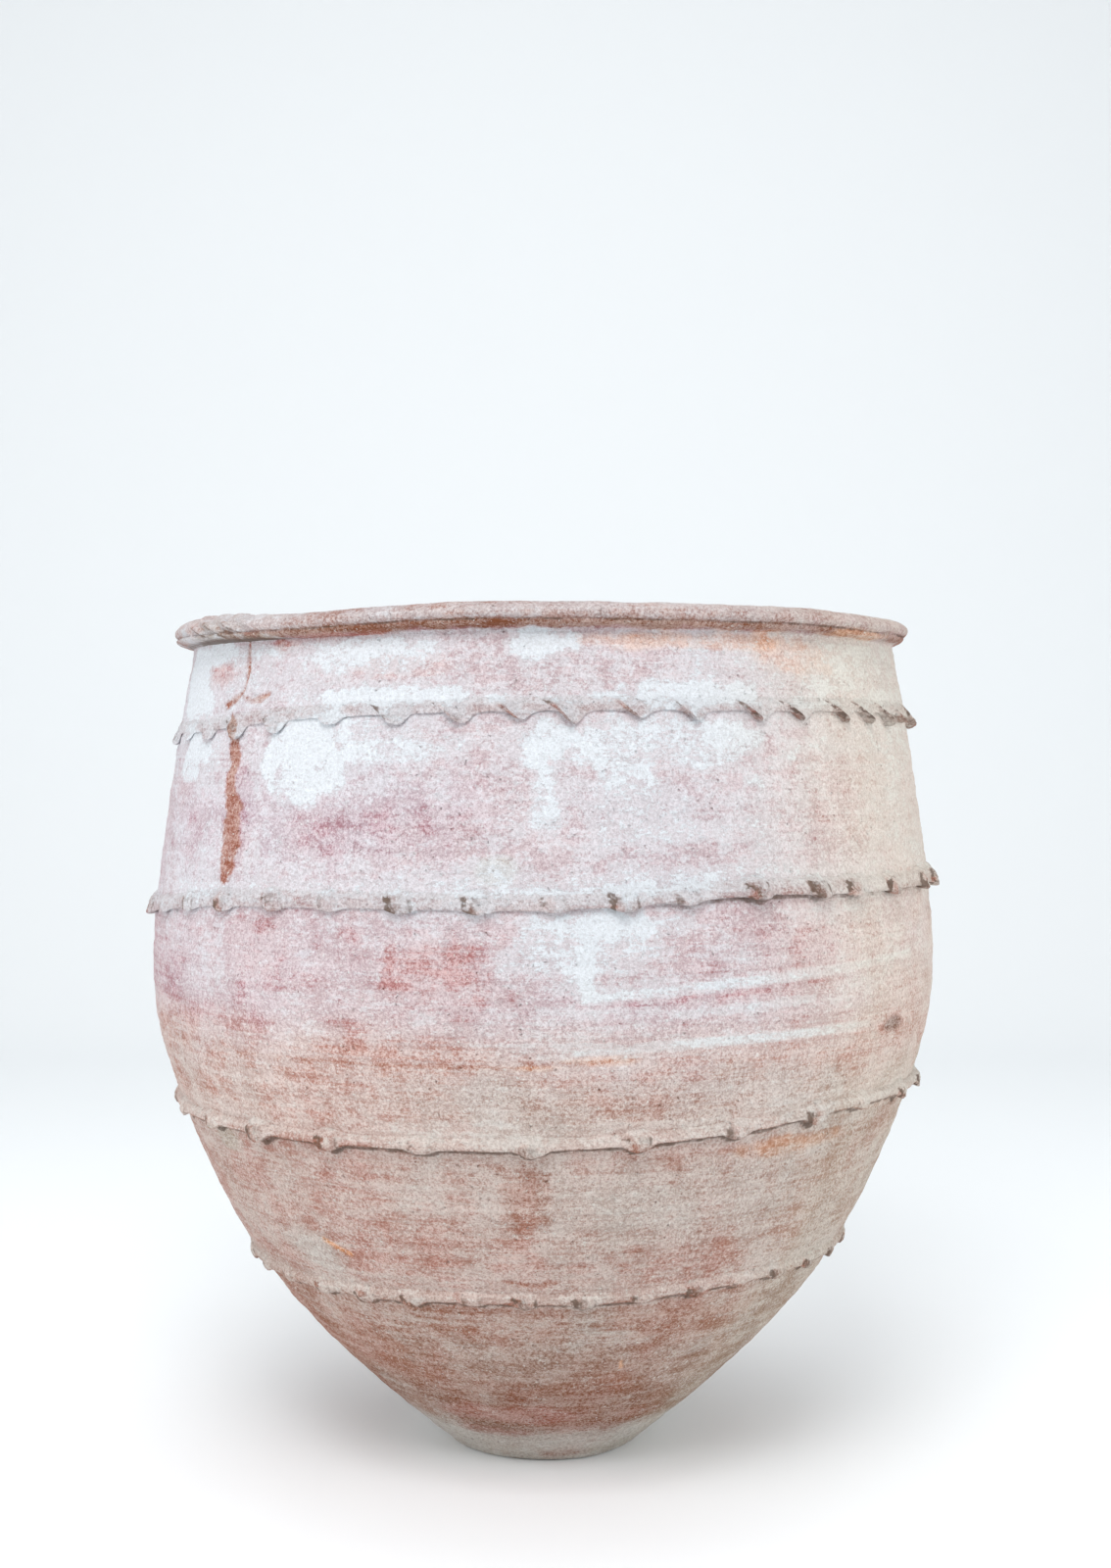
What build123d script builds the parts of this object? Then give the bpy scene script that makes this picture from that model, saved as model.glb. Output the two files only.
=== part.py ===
from build123d import *

import math
import os

# Terracotta storage jar, modelled as a potter raises it: a floor disc, wall courses laid one on
# the other over scarfed joints, a rolled rim pressed over the top edge, and thumb-pressed clay
# cordons that bind the joints from outside. Millimetres, +Z up, origin at the centre of the
# underside of the foot. The front of the jar faces -Y and its right side faces +X.

# Height of the floor and of each wall course, bottom to top
FLOOR_THICKNESS = 28.0
FOOT_COURSE_HEIGHT = 187.0
LOWER_COURSE_HEIGHT = 154.0
BELLY_COIL_HEIGHT = 70.0
BELLY_COURSE_HEIGHT = 131.0
SHOULDER_COURSE_HEIGHT = 165.0
NECK_COURSE_HEIGHT = 84.0

# Outer radius of the wall under the foot and at the top edge of each course
FOOT_RADIUS = 98.0
FOOT_COURSE_RADIUS = 303.0
LOWER_COURSE_RADIUS = 374.0
BELLY_COIL_RADIUS = 394.5
BELLY_COURSE_RADIUS = 395.0
SHOULDER_COURSE_RADIUS = 371.0
NECK_COURSE_RADIUS = 356.5

# Lean of the wall from the upright at the foot, outwards, and at the neck, inwards, in degrees
FOOT_FLARE = 50.0
NECK_LEAN = 9.5

# Wall thickness, square to the outer face
FOOT_WALL = 26.0
NECK_WALL = 17.0

# The inner edge of a course joint stands this far above its outer edge, along the wall
SCARF_RISE = 12.0

# Rolled rim, which sits on the neck and hangs down outside it by the lap. It is lifted by its
# tilt on its high side, an angle counted from the right of the jar towards the back, in degrees
RIM_WIDTH = 36.0
RIM_HEIGHT = 26.0
RIM_LAP = 8.0
RIM_TILT = 0.8
RIM_HIGH_SIDE = 45.0

# Cordons: height of the band, how far it stands out, how far its right side is lifted in degrees,
# and the number of thumb presses round it
FOOT_CORDON_BAND = 22.0
FOOT_CORDON_PROUD = 8.0
FOOT_CORDON_TILT = 0.6
FOOT_CORDON_PRESS_COUNT = 34
BELLY_CORDON_BAND = 22.0
BELLY_CORDON_PROUD = 8.0
BELLY_CORDON_TILT = 1.0
BELLY_CORDON_PRESS_COUNT = 30
SHOULDER_CORDON_BAND = 27.0
SHOULDER_CORDON_PROUD = 9.5
SHOULDER_CORDON_TILT = 1.3
SHOULDER_CORDON_PRESS_COUNT = 38
NECK_CORDON_BAND = 27.0
NECK_CORDON_PROUD = 9.5
NECK_CORDON_TILT = 0.9
NECK_CORDON_PRESS_COUNT = 43

# Film of slip, liquid clay, that a cordon is bedded on
SLIP = 0.3

# Thumb presses: round of the thumb, clay left under it at the joint, slant to the upright, and the
# angle at which the thumb dips into the wall towards the lower edge, both in degrees
THUMB_RADIUS = 24.0
THUMB_WEB = 2.5
THUMB_SLANT = 38.0
THUMB_DIP = 35.0

# Shares of a cordon's band that lie below the joint, to its crest and to its lower edge
CREST_SHARE = 0.12
LOWER_EDGE_SHARE = 0.42

# Points on the wall's outer line at which its fullness behind a cordon is measured
WALL_SAMPLES = 400

# The presses wander from an even spacing by up to this share of their pitch, in an uneven beat
WANDER_SHARE = 0.16
WANDER_STEP = 2.4

# Each course, bottom to top: its height and the outer radius of its top edge
COURSES = {
    "foot_course": (FOOT_COURSE_HEIGHT, FOOT_COURSE_RADIUS),
    "lower_course": (LOWER_COURSE_HEIGHT, LOWER_COURSE_RADIUS),
    "belly_coil": (BELLY_COIL_HEIGHT, BELLY_COIL_RADIUS),
    "belly_course": (BELLY_COURSE_HEIGHT, BELLY_COURSE_RADIUS),
    "shoulder_course": (SHOULDER_COURSE_HEIGHT, SHOULDER_COURSE_RADIUS),
    "neck_course": (NECK_COURSE_HEIGHT, NECK_COURSE_RADIUS),
}
WALL_TOP = FLOOR_THICKNESS + sum(height for height, radius in COURSES.values())


class Joint:
    """Top edge of a course: a point on the wall's outer face, with the wall's directions there."""

    def __init__(self, outer, point):
        self.point = point
        self.up = outer.tangent_at(outer.param_at_point(point))
        self.out = Vector(self.up.Z, 0, -self.up.X)
        self.slope = self.up.X / self.up.Z
        self.wall = FOOT_WALL + (NECK_WALL - FOOT_WALL) * point.Z / WALL_TOP
        self.inner = point - self.out * self.wall

    def scarf_line(self):
        """Ends of the joint's sloping line, run on by its own length past both faces."""
        across = self.inner + self.up * SCARF_RISE - self.point
        return self.point - across, self.point + across * 2

    def run_on(self, point):
        """A point carried on up the wall past this joint, by the height of the rim."""
        return point + self.up * RIM_HEIGHT

    def ring_frame(self, tilt, high_side):
        """Frame of a ring laid round the wall here, lifted by tilt degrees on its high side.
        On a sloping wall the lifted ring also moves sideways, so that it stays on the wall."""
        sideways = self.slope * math.tan(math.radians(tilt)) * self.point.X
        level = Location((0, 0, self.point.Z), (0, 0, high_side))
        return level * Location((sideways, 0, 0), (0, -tilt, 0))

    def fullness(self, low, high, tilt):
        """How far the wall swells past the joint's tangent into the back of a tilted ring, between
        two heights on the ring. Its lifted side and its lowered side meet the wall hardest."""
        steps = [k / WALL_SAMPLES for k in range(WALL_SAMPLES + 1)]
        swell = 0.0
        for side in (tilt, -tilt):
            ring = Plane(self.ring_frame(side, 0))
            for step in steps:
                spot = ring.to_local_coords(OUTER @ step) - Vector(self.point.X, 0, 0)
                if low <= spot.dot(self.up) <= high:
                    swell = max(swell, spot.dot(self.out))
        return swell


def lean(angle):
    """Direction up the wall where it leans out by an angle from the upright."""
    return Vector(math.sin(math.radians(angle)), 0, math.cos(math.radians(angle)))


def wall_stations():
    """Points of the wall's outer face: under the foot, and at the top edge of each course."""
    points = [Vector(FOOT_RADIUS, 0, 0)]
    level = FLOOR_THICKNESS
    for height, radius in COURSES.values():
        level += height
        points.append(Vector(radius, 0, level))
    return points


STATIONS = wall_stations()
OUTER = Spline(STATIONS, tangents=[lean(FOOT_FLARE), lean(-NECK_LEAN)])
FOOT = Joint(OUTER, STATIONS[0])
JOINTS = {name: Joint(OUTER, point) for name, point in zip(COURSES, STATIONS[1:])}
NECK = JOINTS["neck_course"]


def turned(section):
    """A section in the XZ plane turned once round the jar's axis."""
    return revolve(section, axis=Axis.Z)


def filled_to_axis(line, low, high):
    """The area between the jar's axis and a line that runs up beside it from low to high."""
    rest = Polyline(high, (0, 0, high.Z), (0, 0, low.Z), low)
    return make_face([*line.edges(), *rest.edges()])


def inside_section(depth):
    """Everything inside a face of the wall, carried on up into the rim. The face lies below the
    outer one by a depth that is worked out for each joint."""
    points = [joint.point - joint.out * depth(joint) for joint in (FOOT, *JOINTS.values())]
    line = Spline(points, tangents=[FOOT.up, NECK.up])
    top = NECK.run_on(points[-1])
    return filled_to_axis(line + Line(points[-1], top), points[0], top)


def envelope_section():
    """Everything inside the wall's outer face."""
    return inside_section(lambda joint: 0)


def floor_slab():
    """Section of a slab that reaches past the foot, from the ground to the top of the floor."""
    reach = FOOT_COURSE_RADIUS
    corners = [(0, 0, 0), (reach, 0, 0), (reach, 0, FLOOR_THICKNESS), (0, 0, FLOOR_THICKNESS)]
    return make_face(Polyline(corners, close=True))


def wall_section():
    """The wall above the floor, between its outer face and the inner one."""
    cavity = inside_section(lambda joint: joint.wall)
    return envelope_section() - cavity - floor_slab()


def wall_courses():
    """Every course as its own ring. The lowest stands flat on the floor disc, and the highest
    runs on into the rim, to be cut at the rim's seat."""
    wall = wall_section()
    courses = {}
    below = (Vector(FOOT_COURSE_RADIUS, 0, 0), Vector(0, 0, 0))
    for name, joint in JOINTS.items():
        above = joint.scarf_line()
        if joint is NECK:
            above = [joint.run_on(end) for end in above]
        stretch = make_face(Polyline(*below, *reversed(above), close=True))
        courses[name] = turned(wall & stretch)
        below = above
    return courses


def rim_ring(frame):
    """The rolled rim, oval in section and flush with the inside of the neck."""
    centre = (NECK.inner.X + RIM_WIDTH / 2, 0, RIM_HEIGHT / 2 - RIM_LAP)
    across = Plane(origin=centre, x_dir=(1, 0, 0), z_dir=(0, -1, 0))
    return frame * turned(across * Ellipse(RIM_WIDTH / 2, RIM_HEIGHT / 2))


def cordon_section(joint, bed, band, proud):
    """Section of a cordon in its ring's own frame: a straight back on its bed, a ramp smoothed
    down onto the wall above the crest, and a round lower edge."""
    lower = bed - joint.up * LOWER_EDGE_SHARE * band
    upper = lower + joint.up * band
    crest = bed + joint.out * proud - joint.up * CREST_SHARE * band
    lower_edge = TangentArc(crest, lower, tangent=-joint.up)
    return make_face([lower_edge, Line(lower, upper), Line(upper, crest)])


def thumb_presses(joint, bed, band, press_count):
    """Round cutters for the presses. Each runs down to the right and dips into the wall, so that
    the lower edge is left in lobes while the upper edge stays whole."""
    slant = math.radians(THUMB_SLANT)
    dip = math.radians(THUMB_DIP)
    along = joint.up * math.cos(slant) - Vector(0, 1, 0) * math.sin(slant)
    axis = along * math.cos(dip) + joint.out * math.sin(dip)
    away = joint.out * math.cos(dip) - along * math.sin(dip)
    centre = bed + joint.out * THUMB_WEB + away * THUMB_RADIUS
    press = Plane(origin=centre, z_dir=axis) * Cylinder(THUMB_RADIUS, 2 * (band + THUMB_RADIUS))
    pitch = 360 / press_count
    turns = [pitch * (k + WANDER_SHARE * math.sin(WANDER_STEP * k)) for k in range(press_count)]
    return [Rot(0, 0, turn) * press for turn in turns]


def cordon(joint, band, proud, tilt, press_count):
    """One cordon: a ring of clay laid round a joint and pressed on with the thumb. Its bed is the
    slip film, on the fullest part of the wall behind it."""
    low = -LOWER_EDGE_SHARE * band
    stand_off = joint.fullness(low, low + band, tilt) + SLIP
    bed = Vector(joint.point.X, 0, 0) + joint.out * stand_off
    ring = turned(cordon_section(joint, bed, band, proud)) - thumb_presses(joint, bed, band, press_count)
    return joint.ring_frame(tilt, 0) * ring


def cordons():
    """The four cordons, each bedded in slip on the outer face of the wall over its joint."""
    return {
        "foot_cordon": cordon(
            JOINTS["foot_course"],
            band=FOOT_CORDON_BAND,
            proud=FOOT_CORDON_PROUD,
            tilt=FOOT_CORDON_TILT,
            press_count=FOOT_CORDON_PRESS_COUNT,
        ),
        "belly_cordon": cordon(
            JOINTS["lower_course"],
            band=BELLY_CORDON_BAND,
            proud=BELLY_CORDON_PROUD,
            tilt=BELLY_CORDON_TILT,
            press_count=BELLY_CORDON_PRESS_COUNT,
        ),
        "shoulder_cordon": cordon(
            JOINTS["belly_course"],
            band=SHOULDER_CORDON_BAND,
            proud=SHOULDER_CORDON_PROUD,
            tilt=SHOULDER_CORDON_TILT,
            press_count=SHOULDER_CORDON_PRESS_COUNT,
        ),
        "neck_cordon": cordon(
            JOINTS["shoulder_course"],
            band=NECK_CORDON_BAND,
            proud=NECK_CORDON_PROUD,
            tilt=NECK_CORDON_TILT,
            press_count=NECK_CORDON_PRESS_COUNT,
        ),
    }


def jar():
    """Every piece of the jar by name."""
    pieces = {"floor_disc": turned(envelope_section() & floor_slab())}
    pieces.update(wall_courses())
    seat = NECK.ring_frame(RIM_TILT, RIM_HIGH_SIDE)
    pieces["neck_course"] = split(pieces["neck_course"], bisect_by=Plane(seat), keep=Keep.BOTTOM)
    pieces["rim_roll"] = rim_ring(seat) - pieces["neck_course"]
    pieces.update(cordons())
    return pieces


os.makedirs("parts", exist_ok=True)
for node, piece in jar().items():
    export_step(piece, f"parts/{node}.step")
    print(f"{node}: {len(piece.solids())} solid, {piece.volume:.0f} mm3")
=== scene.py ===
"""Looks of a large terracotta storage jar: hand-raised wall courses, a rolled rim and thumb-pressed
cordons, under a worn coat of lime. Metres, +Z up, the front of the jar faces -Y."""

import math
from functools import cached_property, lru_cache

import bpy
import numpy as np
from bpy.props import CollectionProperty, FloatProperty, FloatVectorProperty, IntProperty
from bpy.props import PointerProperty, StringProperty
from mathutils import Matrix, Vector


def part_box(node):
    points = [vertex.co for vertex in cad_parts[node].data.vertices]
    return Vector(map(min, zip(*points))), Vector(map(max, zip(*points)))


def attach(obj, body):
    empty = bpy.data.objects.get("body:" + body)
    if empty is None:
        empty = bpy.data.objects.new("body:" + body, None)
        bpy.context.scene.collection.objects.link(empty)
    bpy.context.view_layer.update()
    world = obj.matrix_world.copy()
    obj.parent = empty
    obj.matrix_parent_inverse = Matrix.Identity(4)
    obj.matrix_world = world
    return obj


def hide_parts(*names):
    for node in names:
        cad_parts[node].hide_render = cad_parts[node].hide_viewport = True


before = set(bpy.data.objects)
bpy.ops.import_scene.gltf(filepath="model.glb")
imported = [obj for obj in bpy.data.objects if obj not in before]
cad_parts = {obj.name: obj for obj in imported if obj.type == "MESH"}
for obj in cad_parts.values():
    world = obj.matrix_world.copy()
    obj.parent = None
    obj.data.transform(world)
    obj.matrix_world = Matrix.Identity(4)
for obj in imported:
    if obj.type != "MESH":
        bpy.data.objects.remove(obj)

bl_info = {
    "name": "Terracotta storage jar",
    "version": (1, 0, 0),
    "blender": (4, 5, 0),
    "location": "View3D > Sidebar > Jar",
    "description": "Builds the weathered clay skin of a storage jar over its CAD pieces",
    "category": "Object",
}

MM = 0.001

# Depth of the fine grain of each finish
CLAY_BUMPS = {"limewashed_terracotta": 0.0016, "bare_terracotta": 0.0024, "cordon_terracotta": 0.0024}

COURSES = ("foot_course", "lower_course", "belly_coil", "belly_course", "shoulder_course", "neck_course")
BARE_COURSES = ("foot_course", "lower_course")

# Course that stands on the joint bound by each cordon
CORDON_JOINTS = {
    "foot_cordon": "lower_course",
    "belly_cordon": "belly_coil",
    "shoulder_cordon": "shoulder_course",
    "neck_cordon": "neck_course",
}

# How far each cordon's line strays from its joint, in mm, at angles from the front, right positive
CORDON_LINES = {
    "foot_cordon": {-150: -2, -110: -7, -80: -10, -50: -9, -30: -7, -10: -1, 10: 0, 30: 4, 50: 5,
                    90: 5, 135: 3, 180: 1},
    "belly_cordon": {-150: -2, -110: -9, -80: -12, -60: -10, -30: -7, 0: -3, 30: 7, 50: 14, 65: 12,
                     90: 9, 135: 6, 180: 2},
    "shoulder_cordon": {-150: -4, -110: -14, -70: -15, -48: -2, -20: 3, 0: 4, 14: 8, 27: 13, 45: 11,
                        68: 11, 100: 11, 140: 8, 180: 3},
    "neck_cordon": {-150: 0, -110: -6, -80: -8, -60: -8, -45: -2, -30: 3, -15: 6, 0: 8, 15: 9,
                    30: 9, 45: 10, 60: 10, 75: 9, 110: 6, 150: 3},
}

# Where the potter's thumb pressed each cordon across the front, in degrees; the rest run on evenly
FRONT_PRESSES = {
    "foot_cordon": (-54, -43, -33, -23, -12, -3, 7, 17, 27, 36, 45, 55),
    "belly_cordon": (-70, -56, -44, -30.5, -16.5, -1.5, 12.5, 26.5, 40, 50, 64),
    "shoulder_cordon": (-66, -56, -47, -37, -28, -18, -8, 1.5, 10, 18, 28, 38, 45, 55, 67),
    "neck_cordon": (-67, -58, -49.5, -41, -31, -21, -12, -4, 3, 12, 20, 30, 37.5, 47, 53.5, 60.5, 68),
}

# Presses: how far those round the back stray, as a share of their spacing, the least and greatest depth,
# how far a thumb swept sideways, and the angles between which it came to sweep fully on the neck
PRESS_SHAKE = 0.18
PRESS_DEPTHS = (0.55, 1.15)
PLAIN_SWEEP = 0.3
NECK_SWEEP = (-22, 2)

# Measures of each cordon, which JarCordon describes: lengths in mm, the slant in degrees
CORDON_FORMS = {
    "foot_cordon": {"band": 10.5, "proud": 7.5, "hang": 4.0, "swell": 2.5, "crumb": 0.8, "slant": 8,
                    "press": 0.0, "pushed": 0.15, "arch": 0.58, "bead": 0.9, "grime_and_shade": 0.75, "pale": 0.06,
                    "presses": 35},
    "belly_cordon": {"band": 9.5, "proud": 11.0, "hang": 6.0, "swell": 5.0, "crumb": 2.6, "slant": 8,
                     "press": 0.0, "pushed": 0.15, "arch": 0.55, "bead": 0.8, "grime_and_shade": 0.75, "pale": 0.10,
                     "presses": 27},
    "shoulder_cordon": {"band": 16.0, "proud": 10.5, "hang": 5.0, "swell": 3.5, "crumb": 2.2, "slant": 15,
                        "press": 0.0, "pushed": 0.45, "arch": 0.48, "bead": 0.7, "grime_and_shade": 0.50,
                        "pale": -0.06, "presses": 38},
    "neck_cordon": {"band": 14.0, "proud": 8.0, "hang": 12.0, "swell": 0.0, "crumb": 0.0, "slant": 56,
                    "press": 0.42, "pushed": 0.75, "arch": 0.28, "bead": 0.0, "grime_and_shade": 0.15, "pale": -0.16,
                    "presses": 43},
}
CORDON_UNITS = {"band": MM, "proud": MM, "hang": MM, "swell": MM, "crumb": MM, "slant": math.radians(1)}

# A press is no wider than this in metres, however far apart the presses are
WIDEST_PRESS = 0.062

# How full a cordon is round the jar, where it was smeared flat or left standing
CORDON_FULLNESS = {
    "shoulder_cordon": {-110: 0.9, -70: 0.8, -52: 0.55, -20: 0.55, -2: 0.65, 12: 0.9, 28: 1.2, 45: 1.0,
                        75: 0.95, 140: 1.0},
}

# Lift of the rim in mm at angles from the front
RIM_LINE = {-150: 2, -110: -1, -80: -1, -55: -3, -36: -5, -23: -2.5, -13: -0.3, 0: 0, 24: -0.5, 42: 0.3,
            55: -1, 80: 2, 110: 5, 140: 7, 180: 6}

# Section of the rolled rim in mm: out from the axis and up, from the neck's inside over the roll
# and down past the groove to the neck's outside
RIM_SECTION = ((339.5, 804), (339.8, 816), (340.4, 823), (342.5, 828.4), (347, 831.8), (353, 833.2),
               (360, 833), (366.5, 831.2), (371.8, 828), (374.6, 824.2), (374.2, 820.8), (371.8, 818.2),
               (370.1, 817.3), (370.5, 815.8), (369, 813.6), (365, 811.6), (360.5, 810.2), (357.5, 808),
               (355.5, 804))
RIM_POINTS = 72

# Heights of the rim's groove and underside in mm, and the radius in metres where its inside ends
RIM_GROOVE = 817.3
RIM_UNDERSIDE = 808.5
RIM_INSIDE = 0.346

# How far the rim sits aside in mm, right positive, and how much wider it spread
RIM_SHIFT = -2.0
RIM_SPREAD = 1.004

# How far the inside of the wall and the rim stray, as a share of the outside
INSIDE_WORKED = 0.8
RIM_WORKED = 0.7

# How near in metres a CAD point lies to the seam at +X, to a joint and to the top of a sloping joint,
# and how far behind the chord of the outside it may lie
ON_SEAM = 1e-5
AT_JOINT = 1e-4
NEAR_TOP = 4e-3
BEHIND_CHORD = 4e-3

# Points of the floor disc's section up its edge, and across its underside or its top
FLOOR_ROWS = 10
FLOOR_RINGS = 14

# Pits in the wall: how many, the heights they lie between and their sizes, in mm
PIT_COUNT = 420
PIT_HEIGHTS = (30, 800)
PIT_SIZES = (2.5, 5)

# Width in mm of a degree on a wall of 380 mm radius
MM_PER_DEGREE = math.radians(380)

# Colours of the clay as seen in soft daylight
TONES = {
    "rose": (190, 140, 152), "salmon": (199, 151, 138), "red": (204, 132, 120), "orange": (250, 182, 124),
    "peach": (216, 188, 166), "brown": (178, 126, 102), "earth": (156, 99, 65), "umber": (122, 88, 68),
    "grey": (168, 152, 140), "lavender": (188, 158, 184), "olive": (170, 162, 136), "rust": (168, 98, 64),
    "dust": (214, 198, 182), "sand": (196, 186, 166), "roll": (186, 148, 140), "band": (156, 100, 70),
}

# Share of those colours that the clay itself gives back
DAYLIGHT = 0.90

# Clay tone by height in mm, from the foot to the top of the rim
TONE_BY_HEIGHT = ((0, "dust"), (38, "grey"), (55, "earth"), (92, "earth"), (115, "brown"), (200, "brown"),
                  (222, "salmon"), (445, "salmon"), (480, "rose"), (808, "rose"), (812, "band"),
                  (816.5, "band"), (818.5, "roll"), (834, "roll"))

# How much of the wall the lime still covers, by height in mm
LIME_BY_HEIGHT = ((0, 0.62), (36, 0.56), (52, 0.08), (95, 0.08), (190, 0.20), (215, 0.24), (350, 0.24),
                  (372, 0.30), (430, 0.32), (442, 0.30), (470, 0.48), (570, 0.60), (620, 0.60), (735, 0.64),
                  (800, 0.68), (809, 0.58), (811, 0.05), (817, 0.05), (819, 0.34), (834, 0.44))

# Patches: angle from the front and height of the middle, half width in degrees, half height in mm,
# and how much lime is added there or worn off
LIME_PATCHES = (
    (-33, 697, 8, 38, 0.56), (-20, 704, 10, 11, 0.30), (-33, 660, 2.5, 8, 0.3), (-64, 700, 5, 28, 0.60),
    (-56, 700, 4, 20, 0.20), (-61, 794, 9.5, 14, 0.66), (-63, 752, 8, 15, 0.40), (-68, 775, 8, 30, 0.35),
    (-42.5, 795, 5, 6, 0.25), (-27, 787, 10, 16, 0.36), (-18, 752, 20, 8, 0.36), (-1, 798, 4.5, 15, 0.55),
    (19, 754, 14, 13, 0.36), (15, 748, 32, 6, 0.22), (47, 775, 8, 18, 0.22), (59, 752, 5, 9, 0.25),
    (0, 712, 4.2, 28, 0.50), (0, 662, 2.0, 46, 0.40), (18, 708, 18, 27, 0.40), (17, 630, 11, 20, 0.16),
    (14, 596, 32, 14, 0.16), (5, 534, 9, 32, 0.36), (14, 553, 10, 10, 0.26), (5.2, 512, 1.0, 22, 0.3),
    (22, 505, 14, 8, 0.18), (28, 453, 20, 5, 0.12), (-10, 585, 42, 8, 0.10), (50, 800, 6, 10, 0.15),
    (-66, 814, 24, 7, 0.40), (-58, 520, 8, 40, 0.10), (55.5, 449, 3.4, 10, -0.65), (-42, 245, 6, 22, 0.25),
    (13, 174, 6, 3, 0.2), (12, 12, 14, 7, -0.26), (-20, 42, 16, 7, -0.26), (32, 13, 14, 7, -0.14),
    (22, 300, 22, 46, 0.05), (12, 400, 35, 32, 0.05), (14, 640, 18, 50, 0.08), (60, 690, 18, 120, 0.12),
    (62, 520, 18, 70, -0.04), (60, 400, 18, 30, 0.12), (-42, 640, 38, 55, -0.12), (-48, 510, 36, 60, -0.16),
    (24, 400, 40, 40, -0.08), (66, 520, 16, 70, -0.10), (-68, 775, 9, 32, 0.30), (-55, 775, 7, 15, -0.36),
    (-20, 778, 8, 10, -0.20), (22, 800, 17, 8, -0.22), (39, 788, 7, 18, -0.26), (-20, 628, 13, 26, -0.14),
    (-15, 514, 8, 38, -0.24), (46, 650, 12, 62, -0.10), (37, 530, 5, 22, -0.16), (-41, 802, 4, 8, -0.55),
    (-30, 809, 9, 4, -0.5), (-45, 620, 3, 30, -0.2), (-48, 735, 6, 10, -0.3), (-30, 310, 24, 40, 0.12),
    (-3, 310, 4, 42, -0.12), (35, 352, 12, 12, -0.2), (-48, 655, 3, 60, -0.15),
)

# Patches with at least this much lime are crusts, which end in a broken edge
CRUST = 0.36

# Most lime that patches laid over one another come to
MOST_LIME = 1.4

# Shares of a patch's size: where the middle of its edge is, how far to each side of that it fades,
# and how far a crust does
PATCH_EDGE = 0.87
PATCH_FADE = 0.35
CRUST_FADE = 0.26

# Patches of clay that differ in tone, with the share of that tone
TONE_PATCHES = (
    (-55, 775, 8, 17, "red", 0.55), (-20, 778, 8, 10, "red", 0.55), (22, 800, 18, 9, "orange", 0.65),
    (39, 788, 8, 20, "orange", 0.65), (-40, 800, 3.5, 9, "red", 0.8), (-30, 808, 10, 5, "red", 0.7),
    (-20, 628, 13, 28, "red", 0.18), (-15, 514, 8, 38, "red", 0.28), (-55, 620, 14, 60, "lavender", 0.35),
    (-28, 650, 18, 60, "lavender", 0.45), (-6, 600, 3.2, 15, "olive", 0.75), (37, 530, 6, 24, "red", 0.30),
    (7, 440, 6, 4, "orange", 0.8), (-1, 434, 4, 3, "orange", 0.7), (-25, 443, 32, 7, "red", 0.20),
    (32, 450, 24, 7, "red", 0.25), (55.5, 449, 3, 9, "umber", 0.75), (12, 398, 40, 30, "grey", 0.40),
    (-3, 395, 3, 34, "brown", 0.45), (-28, 308, 22, 46, "salmon", 0.4), (-3, 308, 4, 46, "earth", 0.42),
    (24, 300, 20, 46, "grey", 0.30), (35, 352, 11, 12, "orange", 0.40), (-55, 342, 4, 12, "olive", 0.6),
    (-42, 245, 7, 24, "grey", 0.45), (-10, 68, 22, 12, "red", 0.45), (12, 12, 15, 8, "brown", 0.65),
    (34, 14, 16, 8, "olive", 0.5), (-20, 42, 18, 8, "red", 0.4), (30, 64, 17, 14, "rust", 0.45),
    (0, 140, 45, 32, "grey", 0.30), (-66, 813, 24, 8, "roll", 0.9), (-52, 820, 9, 14, "olive", 0.45),
    (54, 813, 9, 5, "orange", 0.55), (-50, 812, 12, 5, "olive", 0.5),
)

# A chip knocked out of the wall, placed as a patch
CHIP = (55.5, 449, 2.4, 7)

# Runs: the points they pass through, as an angle in degrees and a height and width in mm. A run of
# stain, a crack with an arm, scratches with their tone and how strong it is, and the lines that wiping
# left in the lime, with how much is added or worn off
DRIP = ((-50.8, 737, 4), (-50.0, 728, 11), (-49.4, 705, 17), (-48.8, 690, 12), (-48.6, 668, 14),
        (-47.6, 652, 24), (-47.0, 625, 30), (-47.8, 602, 25), (-48.2, 588, 11))
CRACK = ((-49.4, 812, 2), (-49.0, 796, 4), (-48.4, 778, 6), (-48.9, 760, 3), (-50.4, 753, 6), (-53, 746, 7))
CRACK_ARM = ((-48.8, 754, 2), (-46.4, 750, 3), (-44.6, 751, 7), (-42.6, 756, 3))
SCRATCHES = (
    (((-38, 257, 4), (-33, 246, 3)), "orange", 0.9),
    (((-7, 233, 3), (-2, 228, 4), (2, 231, 3)), "rust", 0.8),
    (((17, 138, 3), (17.4, 132, 3)), "orange", 0.9),
    (((-45, 431, 3), (-20, 433, 3), (-4, 434, 4), (4, 438, 5), (12, 441, 3)), "rust", 0.5),
)
LIME_LINES = (
    (((4.4, 535, 2), (5.2, 515, 3), (6.2, 495, 2)), 0.35),
    (((5, 493, 5), (20, 501, 8), (35, 507, 7), (60, 515, 5)), 0.36),
    (((16, 478, 4), (28, 482, 8), (37, 485, 5)), 0.30),
    (((4, 447, 4), (20, 453, 8), (48, 456, 6)), 0.40),
    (((4, 486, 3), (14, 489, 5), (28, 496, 3)), -0.20),
    (((3, 472, 3), (9, 474, 5), (16, 477, 3)), -0.18),
    (((22, 490, 3), (34, 497, 5), (42, 500, 3)), -0.16),
    (((-60, 486, 4), (-30, 489, 4)), 0.14),
    (((8, 176, 2), (19, 172, 1)), 0.25),
)
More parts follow.
